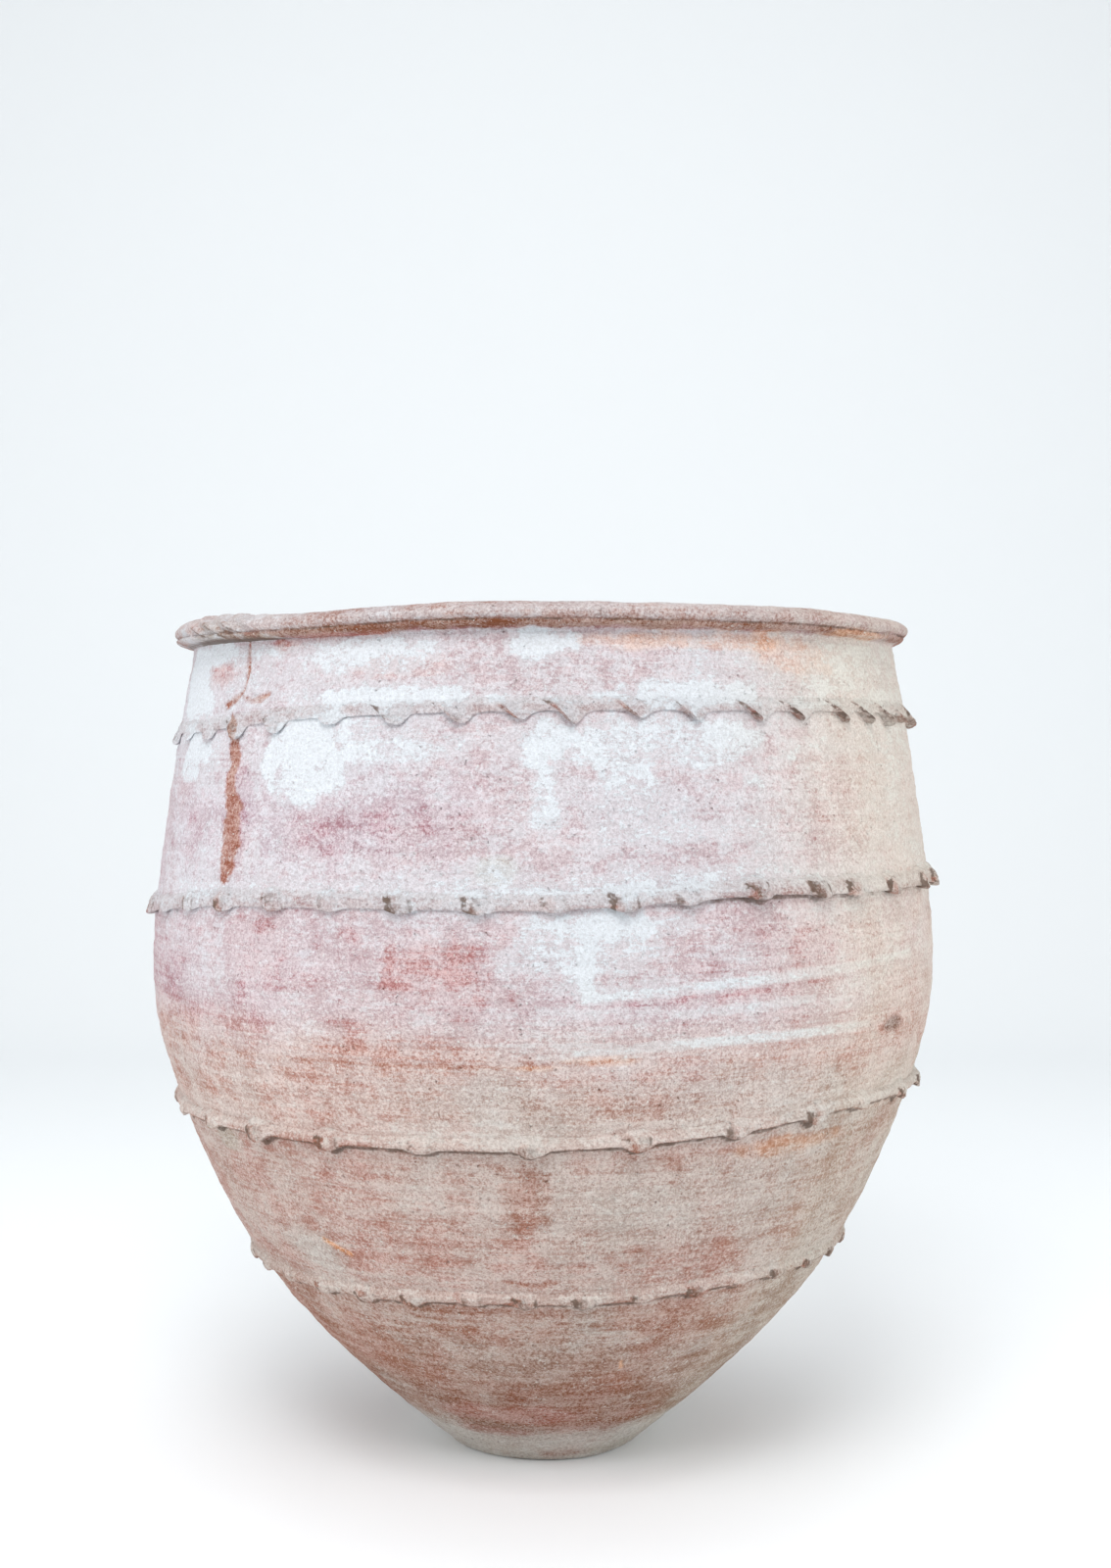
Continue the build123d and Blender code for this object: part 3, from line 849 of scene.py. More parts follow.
def cordon_tree():
    """Tree that lays a strip of clay along a path on the wall and presses it with a thumb."""
    sketch = Sketch.group("thumbed cordon", "GeometryNodeTree", CORDON_INPUTS, {"Geometry": GEOMETRY})
    given = sketch.inputs()
    path, columns, rows = given["Geometry"], given["Columns"], given["Rows"]
    grid, column, row = sketch.grid(columns, rows)
    around = column.reckon("MODULO", columns)
    over = row.reckon("MODULO", rows) / (rows - 1.0)
    foot = sketch.read(path, around)
    out, up = sketch.read(path, around, "way"), sketch.read(path, around, "up")
    down = sketch.curve(over, DOWN_CURVE)
    ramp, bead = sketch.curve(over, RAMP_CURVE), sketch.curve(over, BEAD_CURVE)
    body = (ramp + given["Bead"] * (bead - ramp)) * (1 + BURIED) - BURIED

    # Nearest press, looked for along a line that leans with the thumb
    foot_x, foot_y, _ = sketch.parts(foot)
    radius = (foot_x * foot_x + foot_y * foot_y).reckon("SQRT")
    lean = (down - THUMB_PIVOT) * given["Band"] * given["Slant"].reckon("TANGENT") / radius
    angle = foot_y.reckon("ARCTAN2", foot_x) - lean
    presses = sketch.out("GeometryNodeObjectInfo", {"Object": given["Presses"]}, name="Geometry")
    target = sketch.xyz(angle.reckon("COSINE"), angle.reckon("SINE"), 0.0)
    near = sketch.out("GeometryNodeSampleNearest", {"Geometry": presses, "Sample Position": target})
    press_x, press_y, _ = sketch.parts(sketch.read(presses, near))
    depth = sketch.read(presses, near, "depth", "FLOAT")
    sweep = sketch.read(presses, near, "sweep", "FLOAT")
    aside = (angle - press_y.reckon("ARCTAN2", press_x)).reckon("SINE")
    share = (aside * radius / given["Pitch"] + 0.5).reckon("MAXIMUM", 0.0).reckon("MINIMUM", 1.0)

    # What the thumb did there: the lobe it left hanging, its own print and the ridge it pushed up
    pad, swept = sketch.curve(share, PAD_CURVE), sketch.curve(share, HANG_CURVE)
    lobe = (pad + sweep * (swept - pad)) * depth
    thumb = sketch.curve(share, PRESS_CURVE) * depth * sketch.step(down, 0.15, 0.55)
    ridge = sketch.curve(share, RIDGE_CURVE) * (depth * sweep)
    arch = given["Arch"]
    fullness = arch + (1.0 - arch) * lobe + ridge * given["Pushed"] - thumb * given["Press"]
    swell = given["Swell"] * lobe
    reach = given["Band"] + given["Hang"] * lobe + swell
    bed = foot + up.scaled(given["Band"] * ABOVE_JOINT + swell - down * reach)

    # Rough clay, crumbled beside the thumb
    rough = sketch.bold(bed, 110.0, 5.0) * given["Rough"] * sketch.step(over, 0.0, 0.3)
    rough = rough * (lobe * 1.3 + 0.55)
    crumb = sketch.curve(share, CRUMB_CURVE) * sketch.step(over, 0.02, 0.30)
    crumb = crumb * (1.0 - sketch.step(over, 0.80, 0.95)) * sketch.step(depth, 0.40, 0.85)
    crinkle = (sketch.bold(bed, 230.0, 3.0) * given["Crumb"] + given["Crumb"] * 0.4) * crumb
    proud = given["Proud"] * sketch.read(path, around, "full", "FLOAT")
    height = body * fullness * proud + rough + crinkle + strayed(sketch, given, bed)
    wander = sketch.bold(bed, 45.0, 3.0) * given["Rough"] * 1.2
    moved = bed + out.scaled(height) + up.scaled(wander)
    geometry = sketch.stored(grid, thumb=thumb, ridge=ridge, over=over, lobe=lobe, crumb=crumb)
    geometry = sketch.out("GeometryNodeSetPosition", {"Geometry": geometry, "Position": moved})
    sketch.finish(geometry, given["Material"])


def clay_group():
    """Shader group: fired clay of a given tone, mottled and streaked, with grits and pits."""
    sketch = Sketch.group("fired clay", "ShaderNodeTree", {"Place": VECTOR, "Tone": COLOR},
                          {"Color": COLOR, "Height": FLOAT, "Grain": FLOAT})
    given = sketch.inputs()
    place, tone = given["Place"], given["Tone"]
    mottle = sketch.bold(place, 24.0, 9.0, 0.72)
    streak = sketch.bold(place * (8.0, 8.0, 150.0), 1.0, 4.0, 0.6)
    coarse = sketch.bold(place, 330.0, 3.0, 0.65)
    grain = sketch.bold(place, 720.0, 2.0, 0.6)
    shade = mottle * 0.48 + streak * 0.24 + coarse * 0.40 + grain * 0.30
    darker = sketch.mix(1.0, tone, DARK_CLAY, "MULTIPLY")
    paler = sketch.mix(0.34, tone, PALE_CLAY)
    color = sketch.mix(sketch.step(shade, -0.22, 0.22), darker, paler)

    # Cells with ragged edges, some of which hold a grit or a pit
    stray = sketch.out("ShaderNodeTexNoise", {"Vector": place, "Scale": 420.0, "Detail": 2.0}, name="Color")
    cells = sketch.outs("ShaderNodeTexVoronoi", {"Vector": place + stray.scaled(0.0045), "Scale": 260.0})
    grit_draw, pit_draw, _ = sketch.parts(cells["Color"])
    grit = sketch.step(cells["Distance"], 0.34, 0.14) * grit_draw.reckon("GREATER_THAN", 0.87)
    color = sketch.mix(grit * 0.8, color, GRIT_COLOUR)
    pit = sketch.step(cells["Distance"], 0.34, 0.06) * pit_draw.reckon("GREATER_THAN", 0.955)
    color = sketch.mix(pit * 0.6, color, PIT_COLOUR)
    height = grain * 0.30 + streak * 0.22 + coarse * 0.6 + pit * -0.9 + grit * 0.3
    sketch.outputs(Color=color, Height=height, Grain=grain * 0.5 + coarse * 0.6)


def lime_group():
    """Shader group: worn lime over a colour, as haze, flecks and crust, and how thick it lies."""
    sockets = {"Place": VECTOR, "Clay": COLOR, "Cover": FLOAT, "Warmth": FLOAT, "Relief": FLOAT,
               "Grain": FLOAT}
    sketch = Sketch.group("worn lime", "ShaderNodeTree", sockets, {"Color": COLOR, "Thickness": FLOAT})
    given = sketch.inputs()
    place = given["Place"]
    height = sketch.parts(place)[2]
    often = sketch.step(sketch.noise(place * (3.0, 3.0, 22.0), 1.0), 0.47, 0.66)
    often = often.reckon("MAXIMUM", sketch.step(height, 0.60, 0.54) * 0.75)
    streak = sketch.bold(place * (7.0, 7.0, 120.0), 1.0, 5.0, 0.68) * often
    wiped = sketch.bold(place * (6.0, 6.0, 400.0), 1.0, 3.0, 0.6) * often
    cloudy = sketch.bold(place * (0.7, 0.7, 1.0), 19.0, 9.0, 0.64)
    blotch = sketch.bold(place, 62.0, 6.0, 0.68)
    lively = sketch.step(height, 0.38, 0.56) * 0.60 + 0.40
    patchy = (cloudy * 0.60 + blotch * 0.40) * lively
    worn = given["Cover"] + patchy + streak * 0.24 + wiped * 0.34 + given["Relief"] * 0.24

    # What is left bare under the three coats, of which only the last, the crust, has a thickness
    flaky = place * (0.62, 0.62, 1.25)
    bared = 1.0
    for scale, depth, start, whole, hidden in LIME_COATS:
        coat = sketch.step(worn + sketch.bold(flaky, scale, 8.0, 0.76) * depth, start, whole)
        bared = (1.0 - coat * hidden) * bared

    # Flecks and threads of lime that stay where a coat has gone
    fleck = sketch.bold(place * (0.75, 0.75, 1.15), 330.0, 4.0, 0.7)
    spots = sketch.step(worn * 0.55 + fleck * 0.95, 0.55, 0.70) * 0.85
    wave = sketch.bold(place, 130.0, 2.0, 0.55).reckon("ABSOLUTE")
    threads = sketch.step(1.0 - wave + worn * 0.16 + fleck * 0.40, 1.04, 1.18) * 0.62
    share = (1.0 - bared).reckon("MAXIMUM", spots.reckon("MAXIMUM", threads))
    lime = sketch.mix(given["Warmth"], COOL_LIME, WARM_LIME)
    color = sketch.mix(share, given["Clay"], lime)
    shade = sketch.mix(sketch.step(given["Grain"], -0.40, 0.40), DULL_GRAIN, BRIGHT_GRAIN)
    sketch.outputs(Color=sketch.mix(1.0, color, shade, "MULTIPLY"), Thickness=coat)


def grime_and_shade_group():
    """Shader group: dark dirt, and painted shade where a part hangs over or sinks in, laid in patches."""
    sockets = {"Place": VECTOR, "Clay": COLOR, "Grime And Shade": FLOAT}
    sketch = Sketch.group("caught dirt", "ShaderNodeTree", sockets, {"Color": COLOR})
    given = sketch.inputs()
    patchy = sketch.noise(given["Place"], 130.0, 4.0, 0.65) - 0.5
    share = sketch.step(given["Grime And Shade"] + patchy * 0.9, 0.30, 0.85) * 0.85
    sketch.outputs(Color=sketch.mix(share, given["Clay"], GRIME_AND_SHADE_COLOUR))


def clay_material(name, bump):
    """Material of weathered clay that reads its tone, lime, warmth, and dirt with painted shade, from the
    piece's points.
    """
    material = bpy.data.materials.new(name)
    material.use_nodes = True
    sketch = Sketch(material.node_tree)
    sketch.tree.nodes.clear()
    place = sketch.out("ShaderNodeTexCoord", name="Object")
    tone, cover, warmth, grime_and_shade_amount = (sketch.outs("ShaderNodeAttribute", attribute_name=label)
                                   for label in ("tone", "lime", "warm", "grime_and_shade"))
    clay = sketch.placed("fired clay", {"Place": place, "Tone": tone["Color"]})
    lime = sketch.placed("worn lime", {"Place": place, "Clay": clay["Color"], "Cover": cover["Fac"],
                                       "Warmth": warmth["Fac"], "Relief": clay["Height"],
                                       "Grain": clay["Grain"]})
    grime_and_shade = sketch.placed("caught dirt", {"Place": place, "Clay": lime["Color"], "Grime And Shade": grime_and_shade_amount["Fac"]})
    height = clay["Height"] + lime["Thickness"] * 0.08
    normal = sketch.out("ShaderNodeBump", {"Strength": 1.0, "Distance": bump, "Height": height})
    shader = sketch.out("ShaderNodeBsdfPrincipled", {"Base Color": grime_and_shade["Color"], "Roughness": 0.88,
                                                     "Normal": normal, "Specular IOR Level": 0.18})
    sketch.node("ShaderNodeOutputMaterial", {"Surface": shader})


class Skin:
    """Points of a piece: where they lie on the jar, and the random fields that weather them."""

    def __init__(self, mesh):
        self.points, self.normals = points_of(mesh)
        self.angle, self.height = from_front(self.points)

    def ragged(self, size, seed, stretch=1.0):
        """Random field from -1 to 1 over the points, finer along x, y and z by stretch."""
        return ragged(self.points * stretch, size, seed)

    @cached_property
    def rough(self):
        """Unevenness of the edges of patches."""
        return 0.75 * self.ragged(0.06, 3) + 0.45 * self.ragged(0.016, 14)

    @cached_property
    def wander(self):
        """How far runs stray aside, in mm."""
        return 2.2 * self.ragged(0.03, 21)

    @cached_property
    def broad(self):
        """Broad lighter and darker areas."""
        return self.ragged(0.22, 5)

    @cached_property
    def streaks(self):
        """Upright streaks on the lower wall."""
        return self.ragged(0.055, 41, (1.0, 1.0, 0.30)) * smooth_step(460, 400, self.height)

    @cached_property
    def clouds(self):
        """Clouds on the upper wall."""
        return self.ragged(0.075, 44, (0.6, 0.6, 1.1)) * smooth_step(380, 460, self.height)

    def inside(self, patch, rough, fade=PATCH_FADE):
        """How far points lie inside a patch, from 0 to 1, with an edge made uneven by rough that fades
        out over a share of the patch's size."""
        middle, level, half_width, half_height = patch
        across = signed(self.angle - middle) / half_width
        distance = np.hypot(across, (self.height - level) / half_height) + rough
        return smooth_step(PATCH_EDGE + fade, PATCH_EDGE - fade, distance)

    def along(self, run, wander):
        """How far points lie inside a run, from 0 to 1; wander moves them aside, in mm."""
        share = np.zeros(len(self.angle))
        for (a0, h0, w0), (a1, h1, w1) in zip(run, run[1:]):
            way = np.array(((a1 - a0) * MM_PER_DEGREE, h1 - h0))
            offset = np.stack(((self.angle - a0) * MM_PER_DEGREE + wander, self.height - h0))
            u = np.clip(way @ offset / (way @ way), 0, 1)
            distance = np.hypot(*(offset - way[:, None] * u))
            half = (w0 + (w1 - w0) * u) / 2
            share = np.maximum(share, smooth_step(half + 2.2, half - 1.2, distance))
        return share

    def cracked(self, wander):
        """How far points lie inside the crack or its arm, from 0 to 1."""
        return np.maximum(self.along(CRACK, wander), self.along(CRACK_ARM, wander))


def cordon_fullness(name, angle):
    """How full a cordon is at angles from the front, where 1 is its usual section."""
    return round_line(angle, CORDON_FULLNESS.get(name, {0: 1}))


def cordon_edges(angle):
    """Height in mm of each cordon's lower edge at angles from the front, and the dirt and painted shade
    under it.
    """
    for form in bpy.context.scene.jar_cordons:
        mesh = bpy.data.objects[form.piece + "_clay"].data
        over = layer_of(mesh, "over")
        at_edge = np.abs(over - over[np.argmin(np.abs(over - LOWER_EDGE))]) < 1e-3
        around, height = from_front(points_of(mesh)[0][at_edge])
        grime_and_shade_amount = form.grime_and_shade * cordon_fullness(form.piece, angle) ** 2
        yield np.interp(angle, around, height, period=360), grime_and_shade_amount


def clay_tone(skin):
    """Colour of the clay by height, side and patch, under streaks and clouds."""
    angle, height = skin.angle, skin.height
    fine = skin.ragged(0.02, 8)
    tone = by_height(height + 5 * fine, TONE_BY_HEIGHT)
    right = smooth_step(24, 52, angle) * smooth_step(175, 120, angle)
    left = smooth_step(-35, -75, angle)
    below_rim = smooth_step(815, 800, height)
    shift(tone, 0.62 * right * smooth_step(415, 480, height) * below_rim, linear("peach"))
    shift(tone, 0.60 * right * smooth_step(440, 400, height), linear("sand"))
    shift(tone, 0.35 * left * smooth_step(400, 520, height) * below_rim, linear("lavender"))
    for *patch, colour, share in TONE_PATCHES:
        shift(tone, share * skin.inside(patch, skin.rough), linear(colour))
    shift(tone, 0.45 * np.clip(skin.streaks, 0, 1), linear("red"))
    shift(tone, 0.65 * np.clip(-skin.streaks, 0, 1), linear("grey"))
    shift(tone, 0.40 * np.clip(skin.clouds, 0, 1), linear("red"))
    shift(tone, 0.60 * np.clip(-skin.clouds, 0, 1), linear("lavender"))
    return tone * (1 + 0.12 * skin.broad + 0.06 * fine)[:, None]


def lime_cover(skin):
    """How much lime is left by height, band and patch, and along the lines that wiping left."""
    bands = skin.ragged(0.10, 11, (0.5, 0.5, 6.0))
    lime = by_height(skin.height, LIME_BY_HEIGHT) + 0.10 * bands + 0.12 * skin.broad
    lime -= 0.18 * skin.streaks + 0.14 * skin.clouds
    flaked = skin.rough + 0.95 * skin.ragged(0.022, 15)
    for *patch, amount in LIME_PATCHES:
        if amount < CRUST:
            lime += amount * skin.inside(patch, skin.rough)
        else:
            lime += amount * skin.inside(patch, flaked, CRUST_FADE)
    for run, amount in LIME_LINES:
        lime += amount * skin.along(run, skin.wander)
    return lime


def stain(skin, tone, lime):
    """Lays the run of stain, the crack and the scratches on a tone, and wears the lime off them."""
    stained = skin.along(DRIP, 2 * skin.wander + 9 * skin.ragged(0.014, 31))
    cracked = skin.cracked(skin.wander + 3 * skin.ragged(0.008, 33))
    for share in (0.85 * stained, 0.95 * cracked):
        shift(tone, share, linear("rust"))
        lime -= 0.62 * share
    for run, colour, amount in SCRATCHES:
        share = amount * skin.along(run, skin.wander)
        shift(tone, share, linear(colour))
        lime -= 0.3 * share


def weather(obj, extra_grime_and_shade=0.0, pale=0.0, bare=None, outside=None):
    """Puts tone, lime, warmth, and dirt with painted shade, on the points of a piece. Extra dirt and
    painted shade, and pale lime, are added, bare says where the crumbled clay shows, and outside is how far
    a wall's points face outwards."""
    skin = Skin(obj.data)
    angle, height = skin.angle, skin.height
    tone = clay_tone(skin)
    lime = lime_cover(skin) + pale
    under_rim = smooth_step(5, 1, np.abs(height - RIM_UNDERSIDE))
    grime_and_shade = extra_grime_and_shade + 0.35 * under_rim * smooth_step(-25, -50, angle)
    if outside is not None:
        # Painted shade, with some dirt, in a thin dark band on the wall just below each cordon's lower edge
        reach = 3.2 + 2.6 * skin.rough
        for edge, grime_and_shade_amount in cordon_edges(angle):
            above = height - edge
            grime_and_shade += grime_and_shade_amount * smooth_step(-reach - 1.8, -reach, above) * smooth_step(4, 0, above)
            lime += 0.12 * smooth_step(34, 16, above) * smooth_step(6, 14, above)
    stain(skin, tone, lime)
    if bare is not None:
        shift(tone, 0.4 * smooth_step(480, 560, height), linear("grey"))
        mixed = smooth_step(0.35, 0.65, cloud(skin.points, 0.009, 23))[:, None]
        shift(tone, 0.7 * bare, linear("umber") + mixed * (linear("rust") - linear("umber")))
        lime -= 0.40 * bare
    if outside is not None:
        inner = smooth_step(0.1, -0.1, outside)
        shift(tone, inner, linear("brown"))
        lime += inner * (0.22 - lime)
        grime_and_shade += inner * (0.25 - grime_and_shade)
    sunny = smooth_step(18, 52, angle) * smooth_step(180, 120, angle)
    set_layer(obj.data, "tone", tone)
    set_layer(obj.data, "lime", np.clip(lime, 0, MOST_LIME))
    set_layer(obj.data, "warm", np.maximum(sunny, 0.8 * smooth_step(540, 340, height)))
    set_layer(obj.data, "grime_and_shade", np.clip(grime_and_shade, 0, 1))


def wear(obj):
    """Cuts the crack, scratches, chip and pits into the outside of a wall course."""
    mesh = obj.data
    skin = Skin(mesh)
    depth = 1.6 * skin.cracked(skin.wander)
    for run, _, amount in SCRATCHES:
        depth += amount * skin.along(run, skin.wander)
    depth += 3.0 * skin.inside(CHIP, 0.3 * skin.ragged(0.03, 4))
    draw = np.random.default_rng(40)
    spots, levels = draw.uniform(-180, 180, PIT_COUNT), draw.uniform(*PIT_HEIGHTS, PIT_COUNT)
    for spot, level, size in zip(spots, levels, draw.uniform(*PIT_SIZES, PIT_COUNT)):
        near = np.flatnonzero(np.abs(level - skin.height) < size)
        aside = signed(skin.angle[near] - spot) * MM_PER_DEGREE
        distance = np.hypot(aside, skin.height[near] - level)
        depth[near] += 0.35 * size * smooth_step(size, 0.2 * size, distance)
    depth *= smooth_step(0.2, 0.5, layer_of(mesh, "outside"))
    move(mesh, skin.points - layer_of(mesh, "outward") * (depth * MM)[:, None])


def hand_over(obj):
    """Hides the CAD piece of the same name, which a finished piece stands in for, and puts the piece under
    the root body.
    """
    node = obj.name.removesuffix("_clay")
    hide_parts(node)
    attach(obj, "root")


def clay_inputs(wall, columns, slot):
    """Inputs that every tree of worked clay takes."""
    uneven = {label: getattr(wall, label.lower().replace(" ", "_")) for label in UNEVEN_SIZES}
    return {"Columns": columns, "Material": bpy.data.materials[slot + " finish"], **uneven}


def turned_piece(context, name, points, ways, worked, slot):
    """A piece turned round the axis from its section."""
    wall = context.scene.jar_wall
    edges = [(k, k + 1) for k in range(len(points) - 1)]
    source = new_object(name + " section", points, edges, way=ways, worked=worked)
    return grown(source, "turned clay", name + "_clay", clay_inputs(wall, wall.columns, slot))


class JAR_OT_clay(bpy.types.Operator):
    """Make the trees and materials that the pieces share"""
    bl_idname = "jar.clay"
    bl_label = "Prepare clay"

    def execute(self, context):
        for make in (uneven_wall_group, turned_tree, cordon_tree, clay_group, lime_group, grime_and_shade_group):
            make()
        for slot, bump in CLAY_BUMPS.items():
            clay_material(slot + " finish", bump)
        return {"FINISHED"}


class JAR_OT_floor(bpy.types.Operator):
    """Build the disc that the jar stands on"""
    bl_idname = "jar.floor"
    bl_label = "Floor disc"

    def execute(self, context):
        line = wall_line()
        low, high = line.bottom["floor_disc"], line.top["floor_disc"]
        heights = np.linspace(low, high, FLOOR_ROWS)
        radii, slopes = line.outside(heights)
        under = np.linspace(0, radii[0], FLOOR_RINGS)[:-1]
        over = np.linspace(radii[-1], 0, FLOOR_RINGS)[1:]
        points = [(r, 0, low) for r in under] + [(r, 0, z) for r, z in zip(radii, heights)]
        points += [(r, 0, high) for r in over]
        ways = [(0, 0, -1)] * len(under) + [(1, 0, -s) for s in slopes] + [(0, 0, 1)] * len(over)
        worked = [0] * (len(under) + 1) + [1] * (len(radii) - 1) + [0] * len(over)
        obj = turned_piece(context, "floor_disc", points, ways, worked, "bare_terracotta")
        weather(obj)
        hand_over(obj)
        return {"FINISHED"}


class JAR_OT_courses(bpy.types.Operator):
    """Raise the six courses of the wall"""
    bl_idname = "jar.courses"
    bl_label = "Wall courses"

    def execute(self, context):
        wall = context.scene.jar_wall
        for name in COURSES:
            slot = "bare_terracotta" if name in BARE_COURSES else "limewashed_terracotta"
            section = wall_line().section(name, wall.row, wall.inner_row)
            obj = turned_piece(context, name, *section, slot)
            wear(obj)
            weather(obj, outside=layer_of(obj.data, "outside"))
            hand_over(obj)
        return {"FINISHED"}


class JAR_OT_rim(bpy.types.Operator):
    """Roll the rim over the top edge of the neck"""
    bl_idname = "jar.rim"
    bl_label = "Rolled rim"

    def execute(self, context):
        corners = np.array(RIM_SECTION) * MM
        run = np.r_[0, np.cumsum(np.linalg.norm(np.diff(corners, axis=0), axis=1))]
        fine = np.linspace(0, run[-1], RIM_POINTS)
        radii, heights = (smooth_line(fine, run, corners[:, k])[0] for k in (0, 1))
        along = np.column_stack((np.gradient(radii), np.gradient(heights)))
        along /= np.linalg.norm(along, axis=1)[:, None]
        points = np.column_stack((radii, np.zeros(RIM_POINTS), heights))
        ways = np.column_stack((-along[:, 1], np.zeros(RIM_POINTS), along[:, 0]))
        closed = np.r_[np.arange(RIM_POINTS), 0]
        worked = np.full(RIM_POINTS + 1, RIM_WORKED)
        obj = turned_piece(context, "rim_roll", points[closed], ways[closed], worked, "bare_terracotta")
        self.sag(obj)
        hand_over(obj)
        return {"FINISHED"}

    @staticmethod
    def sag(obj):
        """Lets the rim sag and fold where the clay slumped, and paints dirt and shade into its groove, and
        shade under it and in its creases.
        """
        skin = Skin(obj.data)
        points, normals, angle, height = skin.points, skin.normals, skin.angle, skin.height
        slumped = smooth_step(-38, -50, angle)
        uneven = skin.ragged(0.03, 2)
        folds = np.sin(angle * 1.15 + height * 0.55 + 1.5 * uneven) * smooth_step(14, 5, np.abs(angle + 55))
        # Dirt and painted shade in the groove under the roll
        off_groove = np.abs(height - RIM_GROOVE + 0.9 * uneven)
        groove_grime_and_shade = (0.62 + 0.5 * uneven) * smooth_step(1.7, 0.4, off_groove) * (1 - slumped)
        # Painted shade on the rim's underside
        under = 0.30 * smooth_step(812, 809, height)
        green = 0.42 * smooth_step(16, 6, np.abs(angle + 52)) * smooth_step(822, 811, height)
        # Painted shade in the creases of the folds on the roll
        on_roll = smooth_step(812, 816, height) * smooth_step(830, 824, height)
        crease_shade = 0.6 * smooth_step(-0.55, -0.95, folds) * on_roll
        outer = np.hypot(points[:, 0], points[:, 1]) > RIM_INSIDE
        weather(obj, groove_grime_and_shade + under + green + crease_shade, outside=normals[:, 2] + 2 * outer)

        points += normals * (1.8 * MM * folds * smooth_step(812, 818, height))[:, None]
        closed = 3.4 * MM * slumped * np.exp(-((height - 814.5) / 2.8) ** 2)
        points[:, :2] *= (1 + closed / np.maximum(np.hypot(points[:, 0], points[:, 1]), 0.3))[:, None]
        band = smooth_step(809, 812, height) * smooth_step(818, 816, height)
        rough = 1.2 * skin.ragged(0.05, 9) + (0.5 + 0.7 * band) * skin.ragged(0.009, 19)
        points += normals * (MM * rough)[:, None]
        loose = smooth_step(803, 812, height)
        points[:, :2] *= RIM_SPREAD
        points[:, 0] += RIM_SHIFT * loose * MM
        points[:, 2] += round_line(angle, RIM_LINE) * loose * MM
        move(obj.data, points)


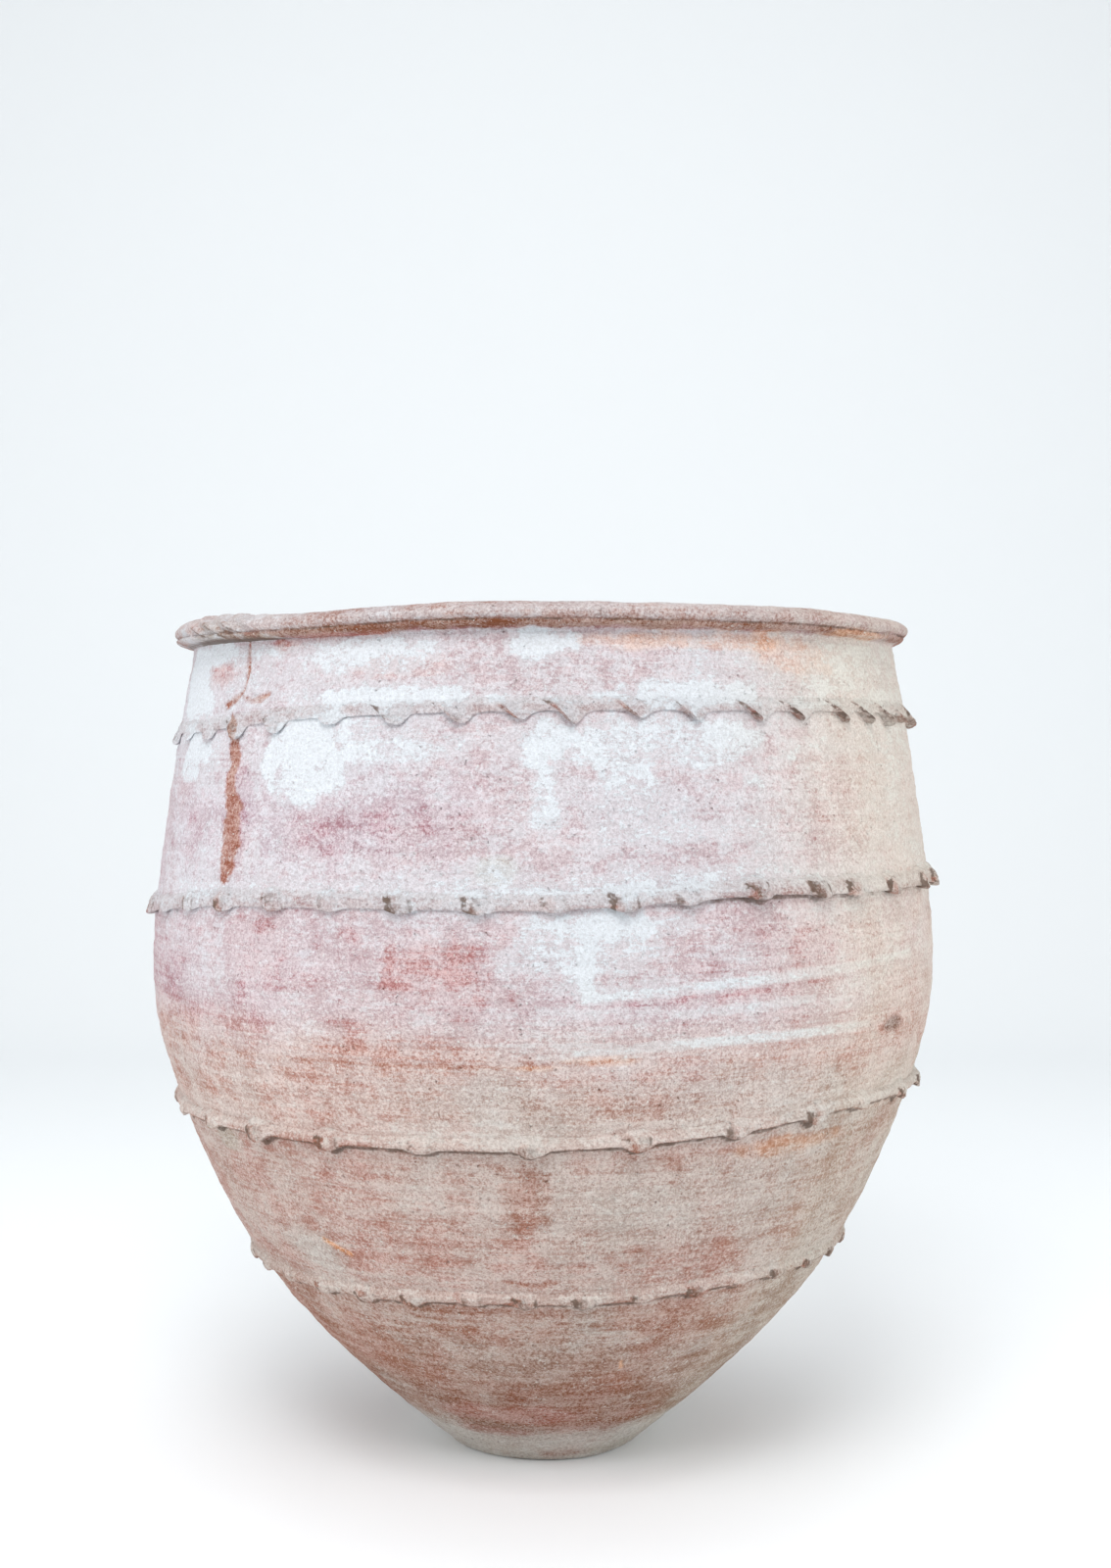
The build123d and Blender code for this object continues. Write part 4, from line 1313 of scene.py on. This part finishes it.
class JAR_OT_cordons(bpy.types.Operator):
    """Lay and thumb the four cordons"""
    bl_idname = "jar.cordons"
    bl_label = "Thumbed cordons"

    def execute(self, context):
        for form in context.scene.jar_cordons:
            obj = self.lay(context, form)
            self.soil(obj, form)
            hand_over(obj)
        return {"FINISHED"}

    @staticmethod
    def thumbs(form):
        """Points on a circle where the thumb pressed: those on the front, then an even run round the
        back, with how deep each went and how far it swept sideways."""
        front = FRONT_PRESSES[form.piece]
        gap = 360 - (front[-1] - front[0])
        rest = max(4, round(gap * form.presses / 360))
        shake = np.random.default_rng(form.presses).uniform(-PRESS_SHAKE, PRESS_SHAKE, rest - 1)
        angle = np.r_[front, front[-1] + gap / rest * (np.arange(1, rest) + shake)]
        depth = np.random.default_rng(3).uniform(*PRESS_DEPTHS, len(angle))
        sweep = np.full(len(angle), PLAIN_SWEEP)
        if form.piece == "neck_cordon":
            sweep = smooth_step(*NECK_SWEEP, signed(angle))
        spots = np.radians(angle - 90)
        points = np.column_stack((np.cos(spots), np.sin(spots), 0 * spots))
        return new_object(form.piece + " presses", points, depth=depth, sweep=sweep)

    def lay(self, context, form):
        """A strip of clay laid round the wall on its joint and pressed."""
        shared, line = context.scene.jar_section, wall_line()
        azimuth = np.arange(shared.columns) * 2 * math.pi / shared.columns
        angle = signed(np.degrees(azimuth) + 90)
        height = line.bottom[CORDON_JOINTS[form.piece]] + round_line(angle, CORDON_LINES[form.piece]) * MM
        radius, slope = line.outside(height)
        tilt = np.arctan(slope)

        def turned(out, up):
            return np.column_stack((out * np.cos(azimuth), out * np.sin(azimuth), up))

        path = new_object(form.piece + " path", turned(radius, height),
                          way=turned(np.cos(tilt), -np.sin(tilt)), up=turned(np.sin(tilt), np.cos(tilt)),
                          full=cordon_fullness(form.piece, angle))
        thumbs = self.thumbs(form)
        inputs = clay_inputs(context.scene.jar_wall, shared.columns, "cordon_terracotta")
        inputs.update({label: getattr(form, label.lower()) for label in CORDON_SIZES})
        pitch = min(2 * math.pi * float(radius.mean()) / form.presses, WIDEST_PRESS)
        inputs.update({"Presses": thumbs, "Rows": shared.rows, "Rough": shared.rough, "Pitch": pitch})
        obj = grown(path, "thumbed cordon", form.piece + "_clay", inputs)
        bpy.data.objects.remove(thumbs)
        return obj

    @staticmethod
    def soil(obj, form):
        """Weathers a cordon: dirt and painted shade on its lower lip, in its cracks and round its pads,
        lime on its crest with a painted highlight on its pads, bare crumbled edges.
        """
        over, thumb, ridge, lobe, crumb = (layer_of(obj.data, label)
                                           for label in ("over", "thumb", "ridge", "lobe", "crumb"))
        points, _ = points_of(obj.data)
        angle, height = from_front(points)
        crumbly = form.crumb > 0
        patchy = smooth_step(0.30, 0.70, cloud(points, 0.025, 6))
        spotty = smooth_step(0.25, 0.65, cloud(points, 0.006, 16))
        crumbled = smooth_step(0.30, 0.80, crumb) * spotty * crumbly
        upper = smooth_step(480, 560, height)
        edge = form.bead * (0.35 + 0.65 * patchy) * smooth_step(0.58, 0.70, over) * (1 - 0.75 * upper)
        torn = smooth_step(0.10, 0.5, ridge) * (0.55 + 0.45 * patchy)
        bare = np.maximum(torn, np.maximum(edge, crumbled)) * smooth_step(0.10, 0.3, over)
        # Painted shade and dirt in the cracks of the crumbled clay
        veins = smooth_step(0.26, 0.06, np.abs(ragged(points, 0.012, 12)))
        crack_grime_and_shade = crumb * veins * smooth_step(0.1, 0.3, over)
        # Painted shade: a dark line round each pad on the lower part of the band
        pad_outline_shade = smooth_step(0.24, 0.08, np.abs(lobe - 0.38)) * smooth_step(0.15, 0.4, over) * crumbly
        # Painted shade with some dirt on the cordon's lower lip, which faces down
        under = form.grime_and_shade * cordon_fullness(form.piece, angle) ** 2 * smooth_step(0.82, 0.90, over)
        # Lime on the crest and in the thumb prints, and a painted highlight of lime on the tops of the pads
        pale = form.pale + 0.20 * thumb + (0.15 + 0.15 * lobe) * smooth_step(0.6, 0.2, over)
        weather(obj, 0.9 * under + 0.80 * crack_grime_and_shade + 0.30 * pad_outline_shade, pale, bare)


class JAR_OT_stage(bpy.types.Operator):
    """Set up the floor, backdrop, light and camera"""
    bl_idname = "jar.stage"
    bl_label = "Stage"

    def execute(self, context):
        scene, stage = context.scene, context.scene.jar_stage
        self.hang_backdrop()
        world = bpy.data.worlds.new("soft daylight")
        world.use_nodes = True
        sky = world.node_tree.nodes["Background"]
        sky.inputs["Color"].default_value = (*stage.tint, 1)
        sky.inputs["Strength"].default_value = stage.sky
        scene.world = world
        self.lamp("soft key", stage.key, 1.5, (-0.35, -2.4, 2.9), (47, 0, -8))
        for side in (-1, 1):
            self.lamp("soft fill", stage.fill, 1.6, (2.3 * side, -0.9, 0.9), (82, 0, 68 * side))
        self.lamp("backdrop wash", stage.wash, 4.0, (0, 0.6, 5.2), (-30, 0, 0))

        camera = bpy.data.cameras.new("camera")
        camera.lens = stage.lens
        camera.sensor_width = SENSOR_WIDTH
        camera.shift_x, camera.shift_y = stage.shift
        scene.camera = linked("camera", camera)
        scene.camera.location = (0, -stage.distance, stage.eye)
        scene.camera.rotation_euler = (math.pi / 2, 0, 0)
        scene.view_settings.view_transform = "Standard"
        return {"FINISHED"}

    @staticmethod
    def hang_backdrop():
        """A floor that bends up into a wall behind the jar."""
        bend = [(BEND_START + BEND_RADIUS * math.sin(a), BEND_RADIUS - BEND_RADIUS * math.cos(a))
                for a in np.linspace(0, math.pi / 2, 16)]
        run = [(BACKDROP_FRONT, 0.0)] + bend + [(BEND_START + BEND_RADIUS, BACKDROP_TOP)]
        points = [(x, y, z) for y, z in run for x in (-BACKDROP_SIDE, BACKDROP_SIDE)]
        faces = [(2 * k, 2 * k + 1, 2 * k + 3, 2 * k + 2) for k in range(len(run) - 1)]
        backdrop = new_object("backdrop", points, (), faces)
        backdrop.data.shade_smooth()
        paper = bpy.data.materials.new("backdrop paper")
        paper.use_nodes = True
        shader = paper.node_tree.nodes["Principled BSDF"]
        shader.inputs["Base Color"].default_value = PAPER
        shader.inputs["Roughness"].default_value = 0.9
        backdrop.data.materials.append(paper)

    @staticmethod
    def lamp(name, power, size, place, turn):
        """A square soft light; turn is in degrees."""
        light = bpy.data.lights.new(name, "AREA")
        light.energy, light.size = power, size
        obj = linked(name, light)
        obj.location = place
        obj.rotation_euler = [math.radians(angle) for angle in turn]


class JAR_PT_panel(bpy.types.Panel):
    """Sidebar panel with the jar's steps and settings"""
    bl_idname = "JAR_PT_panel"
    bl_label = "Storage jar"
    bl_space_type = "VIEW_3D"
    bl_region_type = "UI"
    bl_category = "Jar"

    def draw(self, context):
        scene = context.scene
        for operator in OPERATORS:
            self.layout.operator(operator.bl_idname)
        for settings in (scene.jar_wall, scene.jar_section, scene.jar_stage, *scene.jar_cordons):
            box = self.layout.box()
            for field in settings.__annotations__:
                box.prop(settings, field)


OPERATORS = (JAR_OT_clay, JAR_OT_cordons, JAR_OT_floor, JAR_OT_courses, JAR_OT_rim, JAR_OT_stage)
CLASSES = (JarWall, JarCordon, JarSection, JarStage) + OPERATORS + (JAR_PT_panel,)


def register():
    for cls in CLASSES:
        bpy.utils.register_class(cls)
    bpy.types.Scene.jar_wall = PointerProperty(type=JarWall)
    bpy.types.Scene.jar_section = PointerProperty(type=JarSection)
    bpy.types.Scene.jar_stage = PointerProperty(type=JarStage)
    bpy.types.Scene.jar_cordons = CollectionProperty(type=JarCordon)


def unregister():
    for label in ("jar_wall", "jar_section", "jar_stage", "jar_cordons"):
        delattr(bpy.types.Scene, label)
    for cls in reversed(CLASSES):
        bpy.utils.unregister_class(cls)


def main():
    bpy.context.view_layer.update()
    register()
    for piece, measures in CORDON_FORMS.items():
        form = bpy.context.scene.jar_cordons.add()
        form.piece = piece
        for field, measure in measures.items():
            setattr(form, field, measure * CORDON_UNITS.get(field, 1))
    for operator in OPERATORS:
        _, _, name = operator.bl_idname.partition(".")
        getattr(bpy.ops.jar, name)()


if __name__ == "__main__":
    main()
